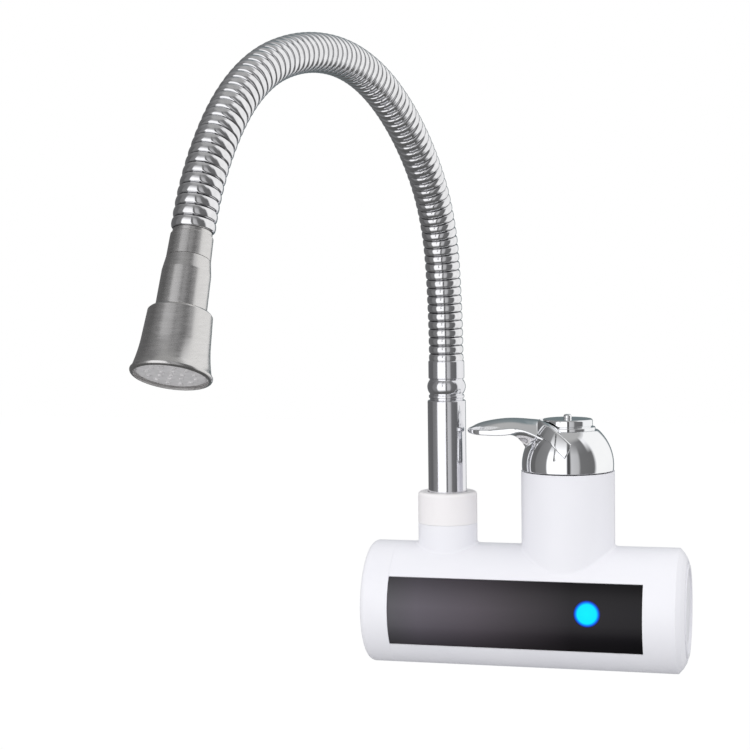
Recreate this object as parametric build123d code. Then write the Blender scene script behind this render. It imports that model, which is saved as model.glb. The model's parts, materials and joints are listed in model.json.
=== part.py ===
from build123d import *
import math
import os

# Electric instant water heater tap, in millimetres. X runs along the heater body, -Y faces the
# user and +Z is up. The origin is on the wall inlet's axis, in the plane of its wall seat, and the
# inlet shares its X with the pillar that carries the handle.

# Heater body
BODY_SETBACK = 52.0
BODY_R = 31.0
BODY_LEFT = 101.1
BODY_RIGHT = 59.9
LEFT_SKIRT = 14.4
RIGHT_SKIRT = 18.7
SHELL_WALL = 2.6
CAP_WALL = 2.8
LEFT_EDGE_R = 3.0
RIGHT_EDGE_R = 5.0
SPIGOT_LENGTH = 6.0
SPIGOT_WALL = 1.8
JUNCTION_R = 1.6

# Right cap's face: a ring groove round a shallow rosette
GROOVE_R = 23.0
GROOVE_WIDTH = 1.4
GROOVE_DEPTH = 1.1
ROSETTE_R = 19.5
ROSETTE_RISE = 0.9
ROSETTE_SIDES = 12

# Pillar, spout boss and collar
PILLAR_R = 23.3
PILLAR_TOP = 68.8
PILLAR_WALL = 2.6
SPOUT_OFFSET = 61.6
BOSS_R = 15.0
BOSS_TOP = 41.4
COLLAR_TOP = 57.3
COLLAR_EDGE_R = 1.6

# Display window and its light
WINDOW_HALF_ANGLE = 33.8
WINDOW_THICKNESS = 1.6
WINDOW_RECESS = 0.4
WINDOW_RIGHT_MARGIN = 1.6
WINDOW_LEDGE = 3.0
LENS_X = 13.0
LENS_Z = 2.7
LENS_R = 6.4
BOARD_THICKNESS = 1.6
DISPLAY_BOARD_INSET = 4.0
RAIL_WIDTH = 2.0
RAIL_LIP = 4.0
RAIL_END_GAP = 1.0
LED_R = 2.5
LED_HEIGHT = 2.1
LED_POCKET = 3.2

# Water side
TANK_GAP = 0.4
TANK_FLANGE_WIDTH = 3.4
TANK_WALL = 1.5
TANK_RIGHT = 26.0
TANK_LEFT = 74.0
TANK_PORT_LENGTH = 3.0
FLANGE_THICKNESS = 2.4
COVER_THICKNESS = 3.0
SEAL_R = 0.6
ELEMENT_R = 3.0
ELEMENT_LEG_OFFSET = 8.5
ELEMENT_END_GAP = 4.0
TERMINAL_R = 2.0
TERMINAL_LENGTH = 8.0
SCREW_R = 1.25
SCREW_HEAD_R = 2.1
SCREW_HEAD_HEIGHT = 1.8
CUTOUT_R = 6.0
CUTOUT_HEIGHT = 5.0
CUTOUT_TAB_LENGTH = 4.0
CUTOUT_TAB_WIDTH = 4.0
CUTOUT_TAB_THICKNESS = 0.8
CUTOUT_TAB_OFFSET = 3.0
PROBE_R = 2.0
PROBE_LENGTH = 6.0
TRANSFER_R = 5.0
TRANSFER_WALL = 1.0
TRANSFER_ENTRY = 2.0
VALVE_R = 14.0
VALVE_BOTTOM = -17.0
VALVE_TOP = 48.0
VALVE_PORT_LENGTH = 4.0
PORT_R = 9.0
CARTRIDGE_R = 11.9
CARTRIDGE_WALL = 2.0
CARTRIDGE_NECK_WALL = 3.0
CARTRIDGE_NECK_STAND = 4.0
CARTRIDGE_BOTTOM = 24.0
DISC_THICKNESS = 3.0
DISC_SLOT_R = 2.2
DISC_SLOT_OFFSET = 5.0
DISC_CUT = 3.0
SPINDLE_R = 4.0
SPINDLE_DEPTH = 3.3
SPINDLE_FLAT = 2.8
SPINDLE_FLAT_LENGTH = 16.0
CARTRIDGE_NUT_HEX = 31.0
CARTRIDGE_NUT_SKIRT = 8.0
CARTRIDGE_NUT_WALL = 3.0
PISTON_R = 6.0
PISTON_FLAT = 4.8
PISTON_LENGTH = 11.0
PISTON_TRAVEL = 6.0
PISTON_BOTTOM = -13.0
PISTON_SEAT = 2.0

# Wall inlet, a G1/2 male thread behind a hexagon
INLET_THREAD_R = 10.48
INLET_THREAD_LENGTH = 15.0
INLET_BORE_R = 7.0
INLET_HEX = 30.0
INLET_HEX_LENGTH = 8.0
INLET_BARREL_R = 12.3
INLET_STEM_R = 8.4
INLET_CHAMFER = 0.8
STEM_ENTRY = 3.0
FILTER_SETBACK = 3.0
FILTER_THICKNESS = 1.0
FILTER_BAR = 0.6
FILTER_PITCH = 3.0
REAR_PAD_STAND = 2.0
REAR_PAD_ROOT = 2.0
LOCKNUT_HEX = 32.0
LOCKNUT_LENGTH = 5.0

# Electrics on the right
GLAND_X = 28.5
GLAND_Z = -8.0
GLAND_BORE_R = 3.6
GLAND_HOLE_GAP = 1.4
GLAND_R = 7.0
GLAND_EDGE_R = 1.2
GLAND_FLANGE_R = 11.0
GLAND_FLANGE = 3.0
GLAND_LENGTH = 14.0
CONTROL_BOARD_X = 24.0
CONTROL_BOARD_LENGTH = 30.0
CONTROL_BOARD_SETBACK = 8.0
PART_INSET = 4.0
RELAY_LENGTH = 18.0
RELAY_DEPTH = 13.0
RELAY_FOOT = 2.0
RELAY_HEIGHT = 15.0
RELAY_EDGE_R = 0.8
TERMINAL_BLOCK_LENGTH = 20.0
TERMINAL_BLOCK_DEPTH = 10.0
TERMINAL_BLOCK_HEIGHT = 10.0
TERMINAL_BLOCK_TOP = -6.0
TERMINAL_HOLE_R = 2.0
TERMINAL_HOLE_DEPTH = 3.0
TERMINAL_PITCH = 6.5
REED_R = 1.2
REED_LENGTH = 14.0
REED_RISE = 3.0
REED_FOOT = 2.0
REED_HOLDER_WIDTH = 2.6

# Spout riser
RISER_R = 9.7
RISER_WALL = 1.3
RISER_FOOT_WALL = 2.9
RISER_BOTTOM = 29.0
SOCKET_BOTTOM = 23.0
SOCKET_CUP = 3.0
SOCKET_LEDGE = 1.0
SOCKET_THREAD_WALL = 1.8
RISER_TOP = 107.2
NECK_R = 8.5
NECK_HEIGHT = 3.4
BEAD_R = 9.75
BEAD_HEIGHT = 7.0
FERRULE_R = 9.1
FERRULE_EDGE = 0.8
SLIP_RING_R = 11.4
SLIP_RING_HEIGHT = 2.6
SLIP_RING_Z = 44.2
SLIP_RING_DEPTH = 0.7
SLIP_RING_SLOT = 1.2
ORING_R = 0.75
ORING_HEIGHTS = (33.5, 38.0)

# Gooseneck: seven equal lengths that nest in each other, with the bend that each one holds
GOOSENECK_BASE = 123.3
GOOSENECK_SWING = 13.5
SEGMENT_LENGTH = 50.7
SEGMENT_TURNS = (8.0, 31.5, 22.0, 25.5, 21.5, 31.0, 24.0)
RIBS_PER_SEGMENT = 12
RIB_CREST_R = 8.75
RIB_GROOVE_R = 7.85
RIB_GROOVE_WIDTH = 0.9
RIB_SLOPE = 0.45
HOSE_BORE_R = 4.6
BALL_R = 6.9
BALL_DEPTH = 4.5
HOSE_TAIL_R = 7.2
HOSE_TAIL_LENGTH = 6.0
JOINT_GAP = 1.4

# Spray head, measured along its own axis from the gooseneck's end
HEAD_PITCH = 156.9
HEAD_SWING = 2.9
HEAD_GAP = 1.25
END_RING_R = 7.8
END_FERRULE_START = 2.2
END_FERRULE_R = 8.4
END_FERRULE_LOW_R = 8.7
END_FERRULE_END = 12.2
NUT_SHOULDER = 17.8
NUT_TOP_R = 9.6
NUT_LOW_R = 9.95
NUT_END = 33.6
STEM_R = 6.2
STEM_LENGTH = 10.0
CORE_R = 8.0
CORE_TOP = 25.0
CORE_FLANGE_R = 10.4
CORE_FLANGE = 3.0
CORE_END = 47.0
BELL_SHOULDER_R = 11.8
BELL_TOP_R = 12.55
BELL_MID = 47.0
BELL_MID_R = 13.35
BELL_RIM_R = 15.85
BELL_END = 60.2
BELL_DIP = 0.35
BELL_WALL = 1.4
BELL_LIP = 1.0
PLATE_THICKNESS = 2.0
SPRAY_HOLE_R = 0.5
INNER_RING_R = 4.6
INNER_RING_HOLES = 6
OUTER_RING_R = 9.4
OUTER_RING_HOLES = 12
MODE_HOLE_R = 1.6
MODE_RING_R = 6.0
MODE_HOLES = 6

# Handle: heights of the saddle and the lever are taken from the dome's top
LEVER_SWING = 3.3
DOME_GAP = 0.5
DOME_BASE_R = 22.8
DOME_MID_R = 21.5
DOME_MID_RISE = 10.6
DOME_TOP_R = 15.3
DOME_RISE = 20.0
DOME_WALL = 2.0
SADDLE_FOOT_RISE = 6.0
SADDLE_FOOT_STAND = 0.6
SADDLE_MID_R = 19.9
SADDLE_MID_HEIGHT = -3.3
SADDLE_TOP_INSET = 1.2
SADDLE_TOP_HEIGHT = 5.6
SADDLE_LOWER_EDGE = ((0.3, -12.4), (-5.0, -7.5), (-9.7, -3.7), (-17.0, -0.9))
SADDLE_UPPER_EDGE = ((-17.0, 5.6), (-12.0, 4.9), (-7.3, 3.1), (-1.9, -0.7), (3.4, -5.3))
SADDLE_END = (2.4, -8.8)
# Reach, half width, edge's foot, edge's top, crown, keel's half width and keel's foot
LEVER_SLICES = (
    (50.0, 1.9, -1.3, 0.3, 0.55, 0.8, -1.45),
    (48.2, 5.2, -1.7, 0.6, 1.4, 2.2, -1.9),
    (44.6, 8.4, -2.1, 0.6, 3.2, 3.6, -2.4),
    (39.0, 10.1, -2.3, 0.6, 4.7, 4.2, -2.7),
    (33.0, 10.4, -2.3, 1.0, 5.6, 4.3, -2.7),
    (28.0, 10.2, -2.0, 1.6, 5.9, 4.3, -2.3),
    (24.5, 10.6, -0.7, 1.5, 5.8, 4.3, -3.7),
    (21.0, 11.7, -0.5, 0.9, 5.6, 5.0, -7.9),
    (18.0, 12.7, -1.4, 0.0, 5.3, 6.0, -12.5),
    (14.0, 14.2, -2.9, -1.5, 4.7, 7.4, -14.3),
)
FLANK_HOLLOW = 0.35
HUB_R = 8.0
CAP_RING_R = 13.8
CAP_RING_HEIGHT = 1.7
CAP_GROOVE_HEIGHT = 0.5
CAP_DISC_R = 12.5
CAP_DISC_HEIGHT = 3.4
CAP_DISC_EDGE = 0.7
NUB_R = 1.6
NUB_HEIGHT = 2.2
HANDLE_SCREW_R = 1.4
HANDLE_SCREW_LENGTH = 16.0

# Fits
SEAT = 0.05
RUNNING = 0.05
SLIDE = 0.08
SWIVEL_GAP = 0.3
BALL_GAP = 0.3
TRIM_GAP = 0.15

# Places that several pieces share
BODY_Y = -BODY_SETBACK
SHELL_LEFT = -BODY_LEFT + LEFT_SKIRT
SHELL_RIGHT = BODY_RIGHT - RIGHT_SKIRT
SHELL_BORE_R = BODY_R - SHELL_WALL
SPOUT_X = -SPOUT_OFFSET
WINDOW_RIGHT = SHELL_RIGHT - WINDOW_RIGHT_MARGIN
WINDOW_R = BODY_R - WINDOW_RECESS
WINDOW_SEAT_R = WINDOW_R - WINDOW_THICKNESS
REAR_PAD_Y = BODY_Y + BODY_R + REAR_PAD_STAND
BARREL_FRONT = BODY_Y + SHELL_BORE_R - REAR_PAD_ROOT
STEM_FRONT = BODY_Y + VALVE_R - STEM_ENTRY
DISPLAY_BOARD_DEPTH = SHELL_BORE_R - DISPLAY_BOARD_INSET
TANK_FLANGE_R = DISPLAY_BOARD_DEPTH - BOARD_THICKNESS - TANK_GAP
TANK_R = TANK_FLANGE_R - TANK_FLANGE_WIDTH
TANK_SEAL_MIDDLE = TANK_R - TANK_WALL / 2
COVER_LEFT = -TANK_LEFT - COVER_THICKNESS
CARTRIDGE_NECK_TOP = VALVE_TOP + CARTRIDGE_NUT_WALL + CARTRIDGE_NECK_STAND
DOME_BASE = PILLAR_TOP + DOME_GAP
DOME_TOP = DOME_BASE + DOME_RISE
SPINDLE_TOP = DOME_TOP - SPINDLE_DEPTH
SPINDLE_FLAT_FOOT = SPINDLE_TOP - SPINDLE_FLAT_LENGTH
CAP_TOP = DOME_TOP + CAP_RING_HEIGHT + CAP_GROOVE_HEIGHT + CAP_DISC_HEIGHT
HANDLE_SCREW_TIP = CAP_TOP - HANDLE_SCREW_LENGTH
CUP_R = BALL_R + BALL_GAP
PLATE_SEAT = BELL_END - BELL_LIP - PLATE_THICKNESS


def rod(radius, start, end):
    """Round bar between two points."""
    line = Vector(*end) - Vector(*start)
    bar = Cylinder(radius, line.length, align=(Align.CENTER, Align.CENTER, Align.MIN))
    return Plane(origin=start, z_dir=line) * bar


def tube(outer, inner, start, end):
    return rod(outer, start, end) - rod(inner, start, end)


def block(low, high):
    """Box between two corners."""
    size = [b - a for a, b in zip(low, high)]
    middle = [(a + b) / 2 for a, b in zip(low, high)]
    return Pos(*middle) * Box(*size)


def along_body(radius, left, right):
    return rod(radius, (left, BODY_Y, 0), (right, BODY_Y, 0))


def upright(radius, x, bottom, top):
    return rod(radius, (x, BODY_Y, bottom), (x, BODY_Y, top))


def turned(points):
    """Solid of revolution about Z from (radius, height) corners."""
    outline = Polyline(*[(r, 0, h) for r, h in points], close=True)
    return revolve(make_face(outline), Axis.Z)


def hexagon(across_flats, start, end):
    line = Vector(*end) - Vector(*start)
    section = RegularPolygon(across_flats / 2, 6, major_radius=False)
    return Plane(origin=start, z_dir=line) * extrude(section, line.length)


def front_sector(inner, outer, left, right, half_angle):
    """Part of a ring round the body's axis, centred on the front."""
    reach = 2 * outer
    rise = reach * math.tan(math.radians(half_angle))
    wedge_face = make_face(
        Polyline((left, 0, 0), (left, -reach, rise), (left, -reach, -rise), close=True)
    )
    wedge = Pos(0, BODY_Y, 0) * extrude(wedge_face, right - left, dir=(1, 0, 0))
    ring = tube(outer, inner, (left, BODY_Y, 0), (right, BODY_Y, 0))
    return ring & wedge


def outer_form():
    """Body tube, pillar and boss as one moulding, with soft inner corners."""
    form = along_body(BODY_R, SHELL_LEFT, SHELL_RIGHT)
    form += upright(PILLAR_R, 0, 0, PILLAR_TOP)
    form += upright(BOSS_R, SPOUT_X, 0, BOSS_TOP)
    corners = [
        e
        for e in form.edges()
        if e.geom_type not in (GeomType.LINE, GeomType.CIRCLE) and e.center().Z > 0
    ]
    return fillet(corners, JUNCTION_R)


def board_rails():
    """Two rails inside the tube that carry the display board's long edges."""
    back = BODY_Y - DISPLAY_BOARD_DEPTH + BOARD_THICKNESS
    half = math.sqrt(SHELL_BORE_R**2 - DISPLAY_BOARD_DEPTH**2)
    rail = block(
        (SHELL_LEFT + SPIGOT_LENGTH + RAIL_END_GAP, back, half - RAIL_WIDTH),
        (SHELL_RIGHT - SPIGOT_LENGTH - RAIL_END_GAP, back + RAIL_WIDTH, half + RAIL_LIP),
    )
    rails = rail + mirror(rail, Plane.XY)
    return rails & along_body(SHELL_BORE_R + SHELL_WALL / 2, SHELL_LEFT, SHELL_RIGHT)


def body_shell():
    shell = outer_form()
    shell += rod(LOCKNUT_HEX / 2, (0, BARREL_FRONT, 0), (0, REAR_PAD_Y, 0))
    shell += rod(
        GLAND_FLANGE_R,
        (GLAND_X, BARREL_FRONT - REAR_PAD_ROOT, GLAND_Z),
        (GLAND_X, REAR_PAD_Y, GLAND_Z),
    )
    shell -= along_body(SHELL_BORE_R, SHELL_LEFT, SHELL_RIGHT)
    shell -= upright(PILLAR_R - PILLAR_WALL, 0, 0, PILLAR_TOP)
    shell -= upright(BOSS_R - SHELL_WALL, SPOUT_X, 0, BOSS_TOP)
    shell += board_rails()
    shell -= front_sector(
        WINDOW_SEAT_R, BODY_R + 1, SHELL_LEFT, WINDOW_RIGHT, WINDOW_HALF_ANGLE
    )
    ledge_angle = math.degrees(WINDOW_LEDGE / WINDOW_SEAT_R)
    shell -= front_sector(
        SHELL_BORE_R - 1,
        BODY_R,
        SHELL_LEFT + SPIGOT_LENGTH + RAIL_END_GAP,
        WINDOW_RIGHT - WINDOW_LEDGE,
        WINDOW_HALF_ANGLE - ledge_angle,
    )
    shell -= rod(INLET_BARREL_R + SEAT, (0, BODY_Y, 0), (0, REAR_PAD_Y, 0))
    cable_hole_r = GLAND_BORE_R + GLAND_HOLE_GAP
    return shell - rod(cable_hole_r, (GLAND_X, BODY_Y, GLAND_Z), (GLAND_X, REAR_PAD_Y, GLAND_Z))


def end_cap(end, seam, edge_r):
    """Cup that closes one end, with a spigot that plugs into the shell."""
    inward = 1 if seam > end else -1
    cup = along_body(BODY_R, min(end, seam), max(end, seam))
    rim = cup.edges().filter_by(GeomType.CIRCLE).sort_by(Axis.X)
    cup = fillet(rim[0] if inward > 0 else rim[-1], edge_r)
    floor = end + inward * CAP_WALL
    spigot_end = seam + inward * SPIGOT_LENGTH
    spigot_r = SHELL_BORE_R - SEAT
    cup += along_body(spigot_r, min(seam, spigot_end), max(seam, spigot_end))
    bore = spigot_r - SPIGOT_WALL
    cup -= along_body(bore, min(floor, spigot_end), max(floor, spigot_end))
    return cup


def left_end_cap():
    return end_cap(-BODY_LEFT, SHELL_LEFT, LEFT_EDGE_R)


def rosette():
    """Low many-sided pyramid in the middle of the right cap's face."""
    face = Plane(origin=(BODY_RIGHT - GROOVE_DEPTH, BODY_Y, 0), x_dir=(0, 1, 0), z_dir=(1, 0, 0))
    foot = face * RegularPolygon(ROSETTE_R, ROSETTE_SIDES)
    tip = face.offset(ROSETTE_RISE) * RegularPolygon(ROSETTE_R / 8, ROSETTE_SIDES)
    return loft([foot, tip], ruled=True)


def right_end_cap():
    cap = end_cap(BODY_RIGHT, SHELL_RIGHT, RIGHT_EDGE_R)
    face = BODY_RIGHT - GROOVE_DEPTH
    cap -= tube(
        GROOVE_R + GROOVE_WIDTH, GROOVE_R, (face, BODY_Y, 0), (BODY_RIGHT, BODY_Y, 0)
    )
    cap -= along_body(ROSETTE_R + GROOVE_WIDTH, face, BODY_RIGHT)
    return cap + rosette()


def window_hole():
    reach = BODY_R + 1
    return rod(
        LENS_R + SEAT, (LENS_X, BODY_Y - reach, LENS_Z), (LENS_X, BODY_Y, LENS_Z)
    )


def display_window():
    side_gap = math.degrees(TRIM_GAP / WINDOW_R)
    pane = front_sector(
        WINDOW_SEAT_R + SEAT,
        WINDOW_R,
        SHELL_LEFT + TRIM_GAP,
        WINDOW_RIGHT - TRIM_GAP,
        WINDOW_HALF_ANGLE - side_gap,
    )
    return pane - window_hole()


def indicator_lens():
    """Round light guide, flush with the window and carried by the display board."""
    front = BODY_Y - BODY_R
    back = BODY_Y - DISPLAY_BOARD_DEPTH
    guide = rod(LENS_R, (LENS_X, front, LENS_Z), (LENS_X, back, LENS_Z))
    guide -= rod(LED_R + 1, (LENS_X, back - LED_POCKET, LENS_Z), (LENS_X, back, LENS_Z))
    return guide & along_body(WINDOW_R, SHELL_LEFT, SHELL_RIGHT)


def display_board():
    half = math.sqrt(SHELL_BORE_R**2 - DISPLAY_BOARD_DEPTH**2) - SEAT
    front = BODY_Y - DISPLAY_BOARD_DEPTH
    end_gap = SPIGOT_LENGTH + 2 * RAIL_END_GAP
    return block(
        (SHELL_LEFT + end_gap, front, -half),
        (SHELL_RIGHT - end_gap, front + BOARD_THICKNESS, half),
    )


def indicator_led():
    board = BODY_Y - DISPLAY_BOARD_DEPTH
    tip = board - LED_HEIGHT
    led = rod(LED_R, (LENS_X, tip, LENS_Z), (LENS_X, board, LENS_Z))
    return fillet(led.edges().filter_by(GeomType.CIRCLE).sort_by(Axis.Y)[0], LED_R / 3)


def heating_tank():
    """Round tank with a flange at its left end and a pipe up to the outlet socket."""
    tank = along_body(TANK_R, -TANK_LEFT, -TANK_RIGHT)
    tank += along_body(TANK_FLANGE_R, -TANK_LEFT, -TANK_LEFT + FLANGE_THICKNESS)
    tank += upright(TRANSFER_R + TRANSFER_WALL, SPOUT_X, 0, SOCKET_BOTTOM + SOCKET_CUP)
    port_end = -TANK_RIGHT + TANK_PORT_LENGTH
    tank += along_body(PORT_R, -TANK_RIGHT, port_end)
    tank -= along_body(TANK_R - TANK_WALL, -TANK_LEFT, -TANK_RIGHT - TANK_WALL)
    tank -= upright(TRANSFER_R, SPOUT_X, 0, RISER_BOTTOM)
    tank -= along_body(TRANSFER_R + SEAT, -TANK_RIGHT - TANK_WALL, port_end)
    return tank - tank_screw_holes()


def tank_screw_places():
    radius = (TANK_R + TANK_FLANGE_R) / 2
    turns = [math.radians(45 + 90 * k) for k in range(4)]
    return [(BODY_Y + radius * math.cos(a), radius * math.sin(a)) for a in turns]


def tank_screw_holes():
    right = -TANK_LEFT + FLANGE_THICKNESS
    return Part() + [
        rod(SCREW_R + SEAT, (COVER_LEFT, y, z), (right, y, z)) for y, z in tank_screw_places()
    ]


def element_leg_places():
    return (BODY_Y - ELEMENT_LEG_OFFSET, BODY_Y + ELEMENT_LEG_OFFSET)


def tank_cover():
    """Round cover with a groove for its seal and holes for the element's legs."""
    cover = along_body(TANK_FLANGE_R, COVER_LEFT, -TANK_LEFT)
    reach = SEAL_R + SEAT
    groove_foot = (-TANK_LEFT - 2 * SEAL_R, BODY_Y, 0)
    cover -= tube(
        TANK_SEAL_MIDDLE + reach, TANK_SEAL_MIDDLE - reach, groove_foot, (-TANK_LEFT, BODY_Y, 0)
    )
    cover -= tank_screw_holes()
    for y in element_leg_places():
        cover -= rod(ELEMENT_R + SEAT, (COVER_LEFT, y, 0), (-TANK_LEFT, y, 0))
    return cover


def squeezed_ring(middle_r, half):
    """Seal ring about Z with an eight-sided section, as one squeezed in its groove has."""
    flat = half * math.tan(math.radians(22.5))
    corners = [(half, flat), (flat, half), (-flat, half), (-half, flat)]
    corners += [(-r, -h) for r, h in corners]
    return turned([(middle_r + r, h) for r, h in corners])


def tank_seal():
    place = Plane(origin=(-TANK_LEFT - SEAL_R, BODY_Y, 0), z_dir=(1, 0, 0))
    return place * squeezed_ring(TANK_SEAL_MIDDLE, SEAL_R)


def tank_screws():
    """Four screws that clamp the cover on the tank's flange."""
    tip = -TANK_LEFT + FLANGE_THICKNESS
    head = COVER_LEFT - SCREW_HEAD_HEIGHT
    screws = []
    for y, z in tank_screw_places():
        shank = rod(SCREW_R, (COVER_LEFT, y, z), (tip, y, z))
        screws.append(shank + rod(SCREW_HEAD_R, (head, y, z), (COVER_LEFT, y, z)))
    return Part() + screws


def heating_element():
    """Hairpin rod: two legs through the cover and a half turn in the tank."""
    reach = ELEMENT_LEG_OFFSET + ELEMENT_R
    bend = -TANK_RIGHT - TANK_WALL - ELEMENT_END_GAP - reach
    legs = [rod(ELEMENT_R, (COVER_LEFT, y, 0), (bend, y, 0)) for y in element_leg_places()]
    ring = Pos(bend, BODY_Y, 0) * Torus(ELEMENT_LEG_OFFSET, ELEMENT_R)
    half = block((bend, BODY_Y - reach, -ELEMENT_R), (bend + reach, BODY_Y + reach, ELEMENT_R))
    return (ring & half) + legs


def element_terminals():
    tip = COVER_LEFT - TERMINAL_LENGTH
    return Part() + [rod(TERMINAL_R, (tip, y, 0), (COVER_LEFT, y, 0)) for y in element_leg_places()]


def thermal_cutout():
    """Bimetal cut-out clipped against the cover, above the terminals."""
    place_z = ELEMENT_R + CUTOUT_R + SCREW_R
    front = COVER_LEFT - CUTOUT_HEIGHT
    cutout = rod(CUTOUT_R, (front, BODY_Y, place_z), (COVER_LEFT, BODY_Y, place_z))
    tab_y = CUTOUT_TAB_THICKNESS / 2
    tab_z = CUTOUT_TAB_WIDTH / 2
    for y in (BODY_Y - CUTOUT_TAB_OFFSET, BODY_Y + CUTOUT_TAB_OFFSET):
        cutout += block(
            (front - CUTOUT_TAB_LENGTH, y - tab_y, place_z - tab_z),
            (front, y + tab_y, place_z + tab_z),
        )
    return cutout


def temperature_probe():
    """Thermistor in a sleeve that leans on the tank's right end."""
    place_z = (TANK_R + PORT_R) / 2
    end = (PROBE_LENGTH - TANK_RIGHT, BODY_Y, place_z)
    return rod(PROBE_R, (-TANK_RIGHT, BODY_Y, place_z), end)


def outlet_socket():
    """Brass socket in the boss: it carries the riser and takes the collar's thread."""
    fit_r = BOSS_R - SHELL_WALL - SEAT
    thread_r = BOSS_R - SOCKET_THREAD_WALL
    top = SLIP_RING_Z + SLIP_RING_HEIGHT + SWIVEL_GAP
    socket = upright(fit_r, SPOUT_X, SOCKET_BOTTOM, BOSS_TOP)
    socket += upright(thread_r, SPOUT_X, BOSS_TOP, top)
    socket -= upright(RISER_R + RUNNING, SPOUT_X, RISER_BOTTOM - SOCKET_LEDGE, top)
    socket -= upright(SLIP_RING_R + SWIVEL_GAP, SPOUT_X, SLIP_RING_Z - SWIVEL_GAP, top)
    pipe_r = TRANSFER_R + TRANSFER_WALL + SEAT
    socket -= upright(pipe_r, SPOUT_X, SOCKET_BOTTOM, SOCKET_BOTTOM + SOCKET_CUP)
    return socket - upright(TRANSFER_R, SPOUT_X, SOCKET_BOTTOM, RISER_BOTTOM)


def collar_nut():
    """Round white collar that holds the riser's slip ring down."""
    thread_r = BOSS_R - SOCKET_THREAD_WALL + SEAT
    shoulder = SLIP_RING_Z + SLIP_RING_HEIGHT + SWIVEL_GAP
    nut = upright(BOSS_R, SPOUT_X, BOSS_TOP, COLLAR_TOP)
    nut = fillet(nut.edges().filter_by(GeomType.CIRCLE).sort_by(Axis.Z)[-1], COLLAR_EDGE_R)
    nut -= upright(thread_r, SPOUT_X, BOSS_TOP, shoulder)
    return nut - upright(RISER_R + SWIVEL_GAP, SPOUT_X, BOSS_TOP, COLLAR_TOP)


def transfer_tube():
    """Short tube that plugs the valve block into the tank."""
    left = -TANK_RIGHT - TANK_WALL
    right = -VALVE_R + TRANSFER_ENTRY
    return tube(TRANSFER_R, TRANSFER_R - TRANSFER_WALL, (left, BODY_Y, 0), (right, BODY_Y, 0))


def valve_body():
    """Water block in the pillar, with ports to the wall, the tank and the cartridge."""
    valve = upright(VALVE_R, 0, VALVE_BOTTOM, VALVE_TOP)
    port_end = -VALVE_R - VALVE_PORT_LENGTH
    valve += along_body(PORT_R, port_end, 0)
    valve += rod(INLET_BARREL_R, (0, BODY_Y, 0), (0, BARREL_FRONT, 0))
    valve -= upright(CARTRIDGE_R + SEAT, 0, CARTRIDGE_BOTTOM, VALVE_TOP)
    chamber_top = PISTON_BOTTOM + PISTON_LENGTH + PISTON_TRAVEL + SWIVEL_GAP
    valve -= upright(PISTON_R + SLIDE, 0, PISTON_BOTTOM, chamber_top)
    valve -= upright(PISTON_R - PISTON_SEAT, 0, PISTON_BOTTOM, CARTRIDGE_BOTTOM)
    bore_r = TRANSFER_R - TRANSFER_WALL
    valve -= along_body(TRANSFER_R + SEAT, port_end, -VALVE_R + TRANSFER_ENTRY)
    valve -= along_body(bore_r, -VALVE_R, 0)
    valve -= rod(INLET_STEM_R + SEAT, (0, STEM_FRONT, 0), (0, BARREL_FRONT, 0))
    return valve - rod(bore_r, (0, BODY_Y, 0), (0, BARREL_FRONT, 0))


def flow_piston():
    """Magnet float that the flow lifts and its own weight returns."""
    top = PISTON_BOTTOM + PISTON_LENGTH
    keep = block(
        (-PISTON_R, BODY_Y - PISTON_FLAT, PISTON_BOTTOM),
        (PISTON_R, BODY_Y + PISTON_FLAT, top),
    )
    return upright(PISTON_R, 0, PISTON_BOTTOM, top) & keep


def fixed_disc():
    """Lower ceramic disc, with its two water slots."""
    top = CARTRIDGE_BOTTOM + DISC_THICKNESS
    disc = upright(CARTRIDGE_R - CARTRIDGE_WALL, 0, CARTRIDGE_BOTTOM, top)
    for x in (-DISC_SLOT_OFFSET, DISC_SLOT_OFFSET):
        disc -= upright(DISC_SLOT_R, x, CARTRIDGE_BOTTOM, top)
    return disc


def moving_disc():
    """Upper ceramic disc, a half moon that the spindle turns over the lower one's slots."""
    bottom = CARTRIDGE_BOTTOM + DISC_THICKNESS + RUNNING
    top = bottom + DISC_THICKNESS
    disc = upright(CARTRIDGE_R - CARTRIDGE_WALL - SWIVEL_GAP, 0, bottom, top)
    return disc - block(
        (-CARTRIDGE_R, BODY_Y + DISC_CUT, bottom), (CARTRIDGE_R, BODY_Y + CARTRIDGE_R, top)
    )


def cartridge_body():
    """Housing round the two discs, with the neck that guides the spindle."""
    housing = upright(CARTRIDGE_R, 0, CARTRIDGE_BOTTOM, VALVE_TOP)
    housing += upright(SPINDLE_R + CARTRIDGE_NECK_WALL, 0, VALVE_TOP, CARTRIDGE_NECK_TOP)
    cavity_top = CARTRIDGE_BOTTOM + 3 * DISC_THICKNESS + 2 * SWIVEL_GAP
    housing -= upright(CARTRIDGE_R - CARTRIDGE_WALL + SEAT, 0, CARTRIDGE_BOTTOM, cavity_top)
    return housing - upright(SPINDLE_R + RUNNING, 0, cavity_top, CARTRIDGE_NECK_TOP)


def spindle_end(clearance):
    """Flatted end of the spindle, or the hole for it, about the handle's axis."""
    radius = SPINDLE_R + clearance
    keep = block(
        (-radius, -radius, SPINDLE_FLAT_FOOT), (radius, SPINDLE_FLAT + clearance, SPINDLE_TOP)
    )
    return rod(radius, (0, 0, SPINDLE_FLAT_FOOT), (0, 0, SPINDLE_TOP)) & keep


def cartridge_spindle():
    """Spindle from the moving disc up into the handle's hub, flatted at its top."""
    bottom = CARTRIDGE_BOTTOM + 2 * DISC_THICKNESS + RUNNING
    spindle = upright(SPINDLE_R, 0, bottom, SPINDLE_FLAT_FOOT)
    spindle += handle_place() * spindle_end(0)
    drive_r = CARTRIDGE_R - CARTRIDGE_WALL - SWIVEL_GAP
    spindle += upright(drive_r, 0, bottom, bottom + DISC_THICKNESS)
    return spindle - upright(HANDLE_SCREW_R + SEAT, 0, HANDLE_SCREW_TIP, SPINDLE_TOP)


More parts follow.
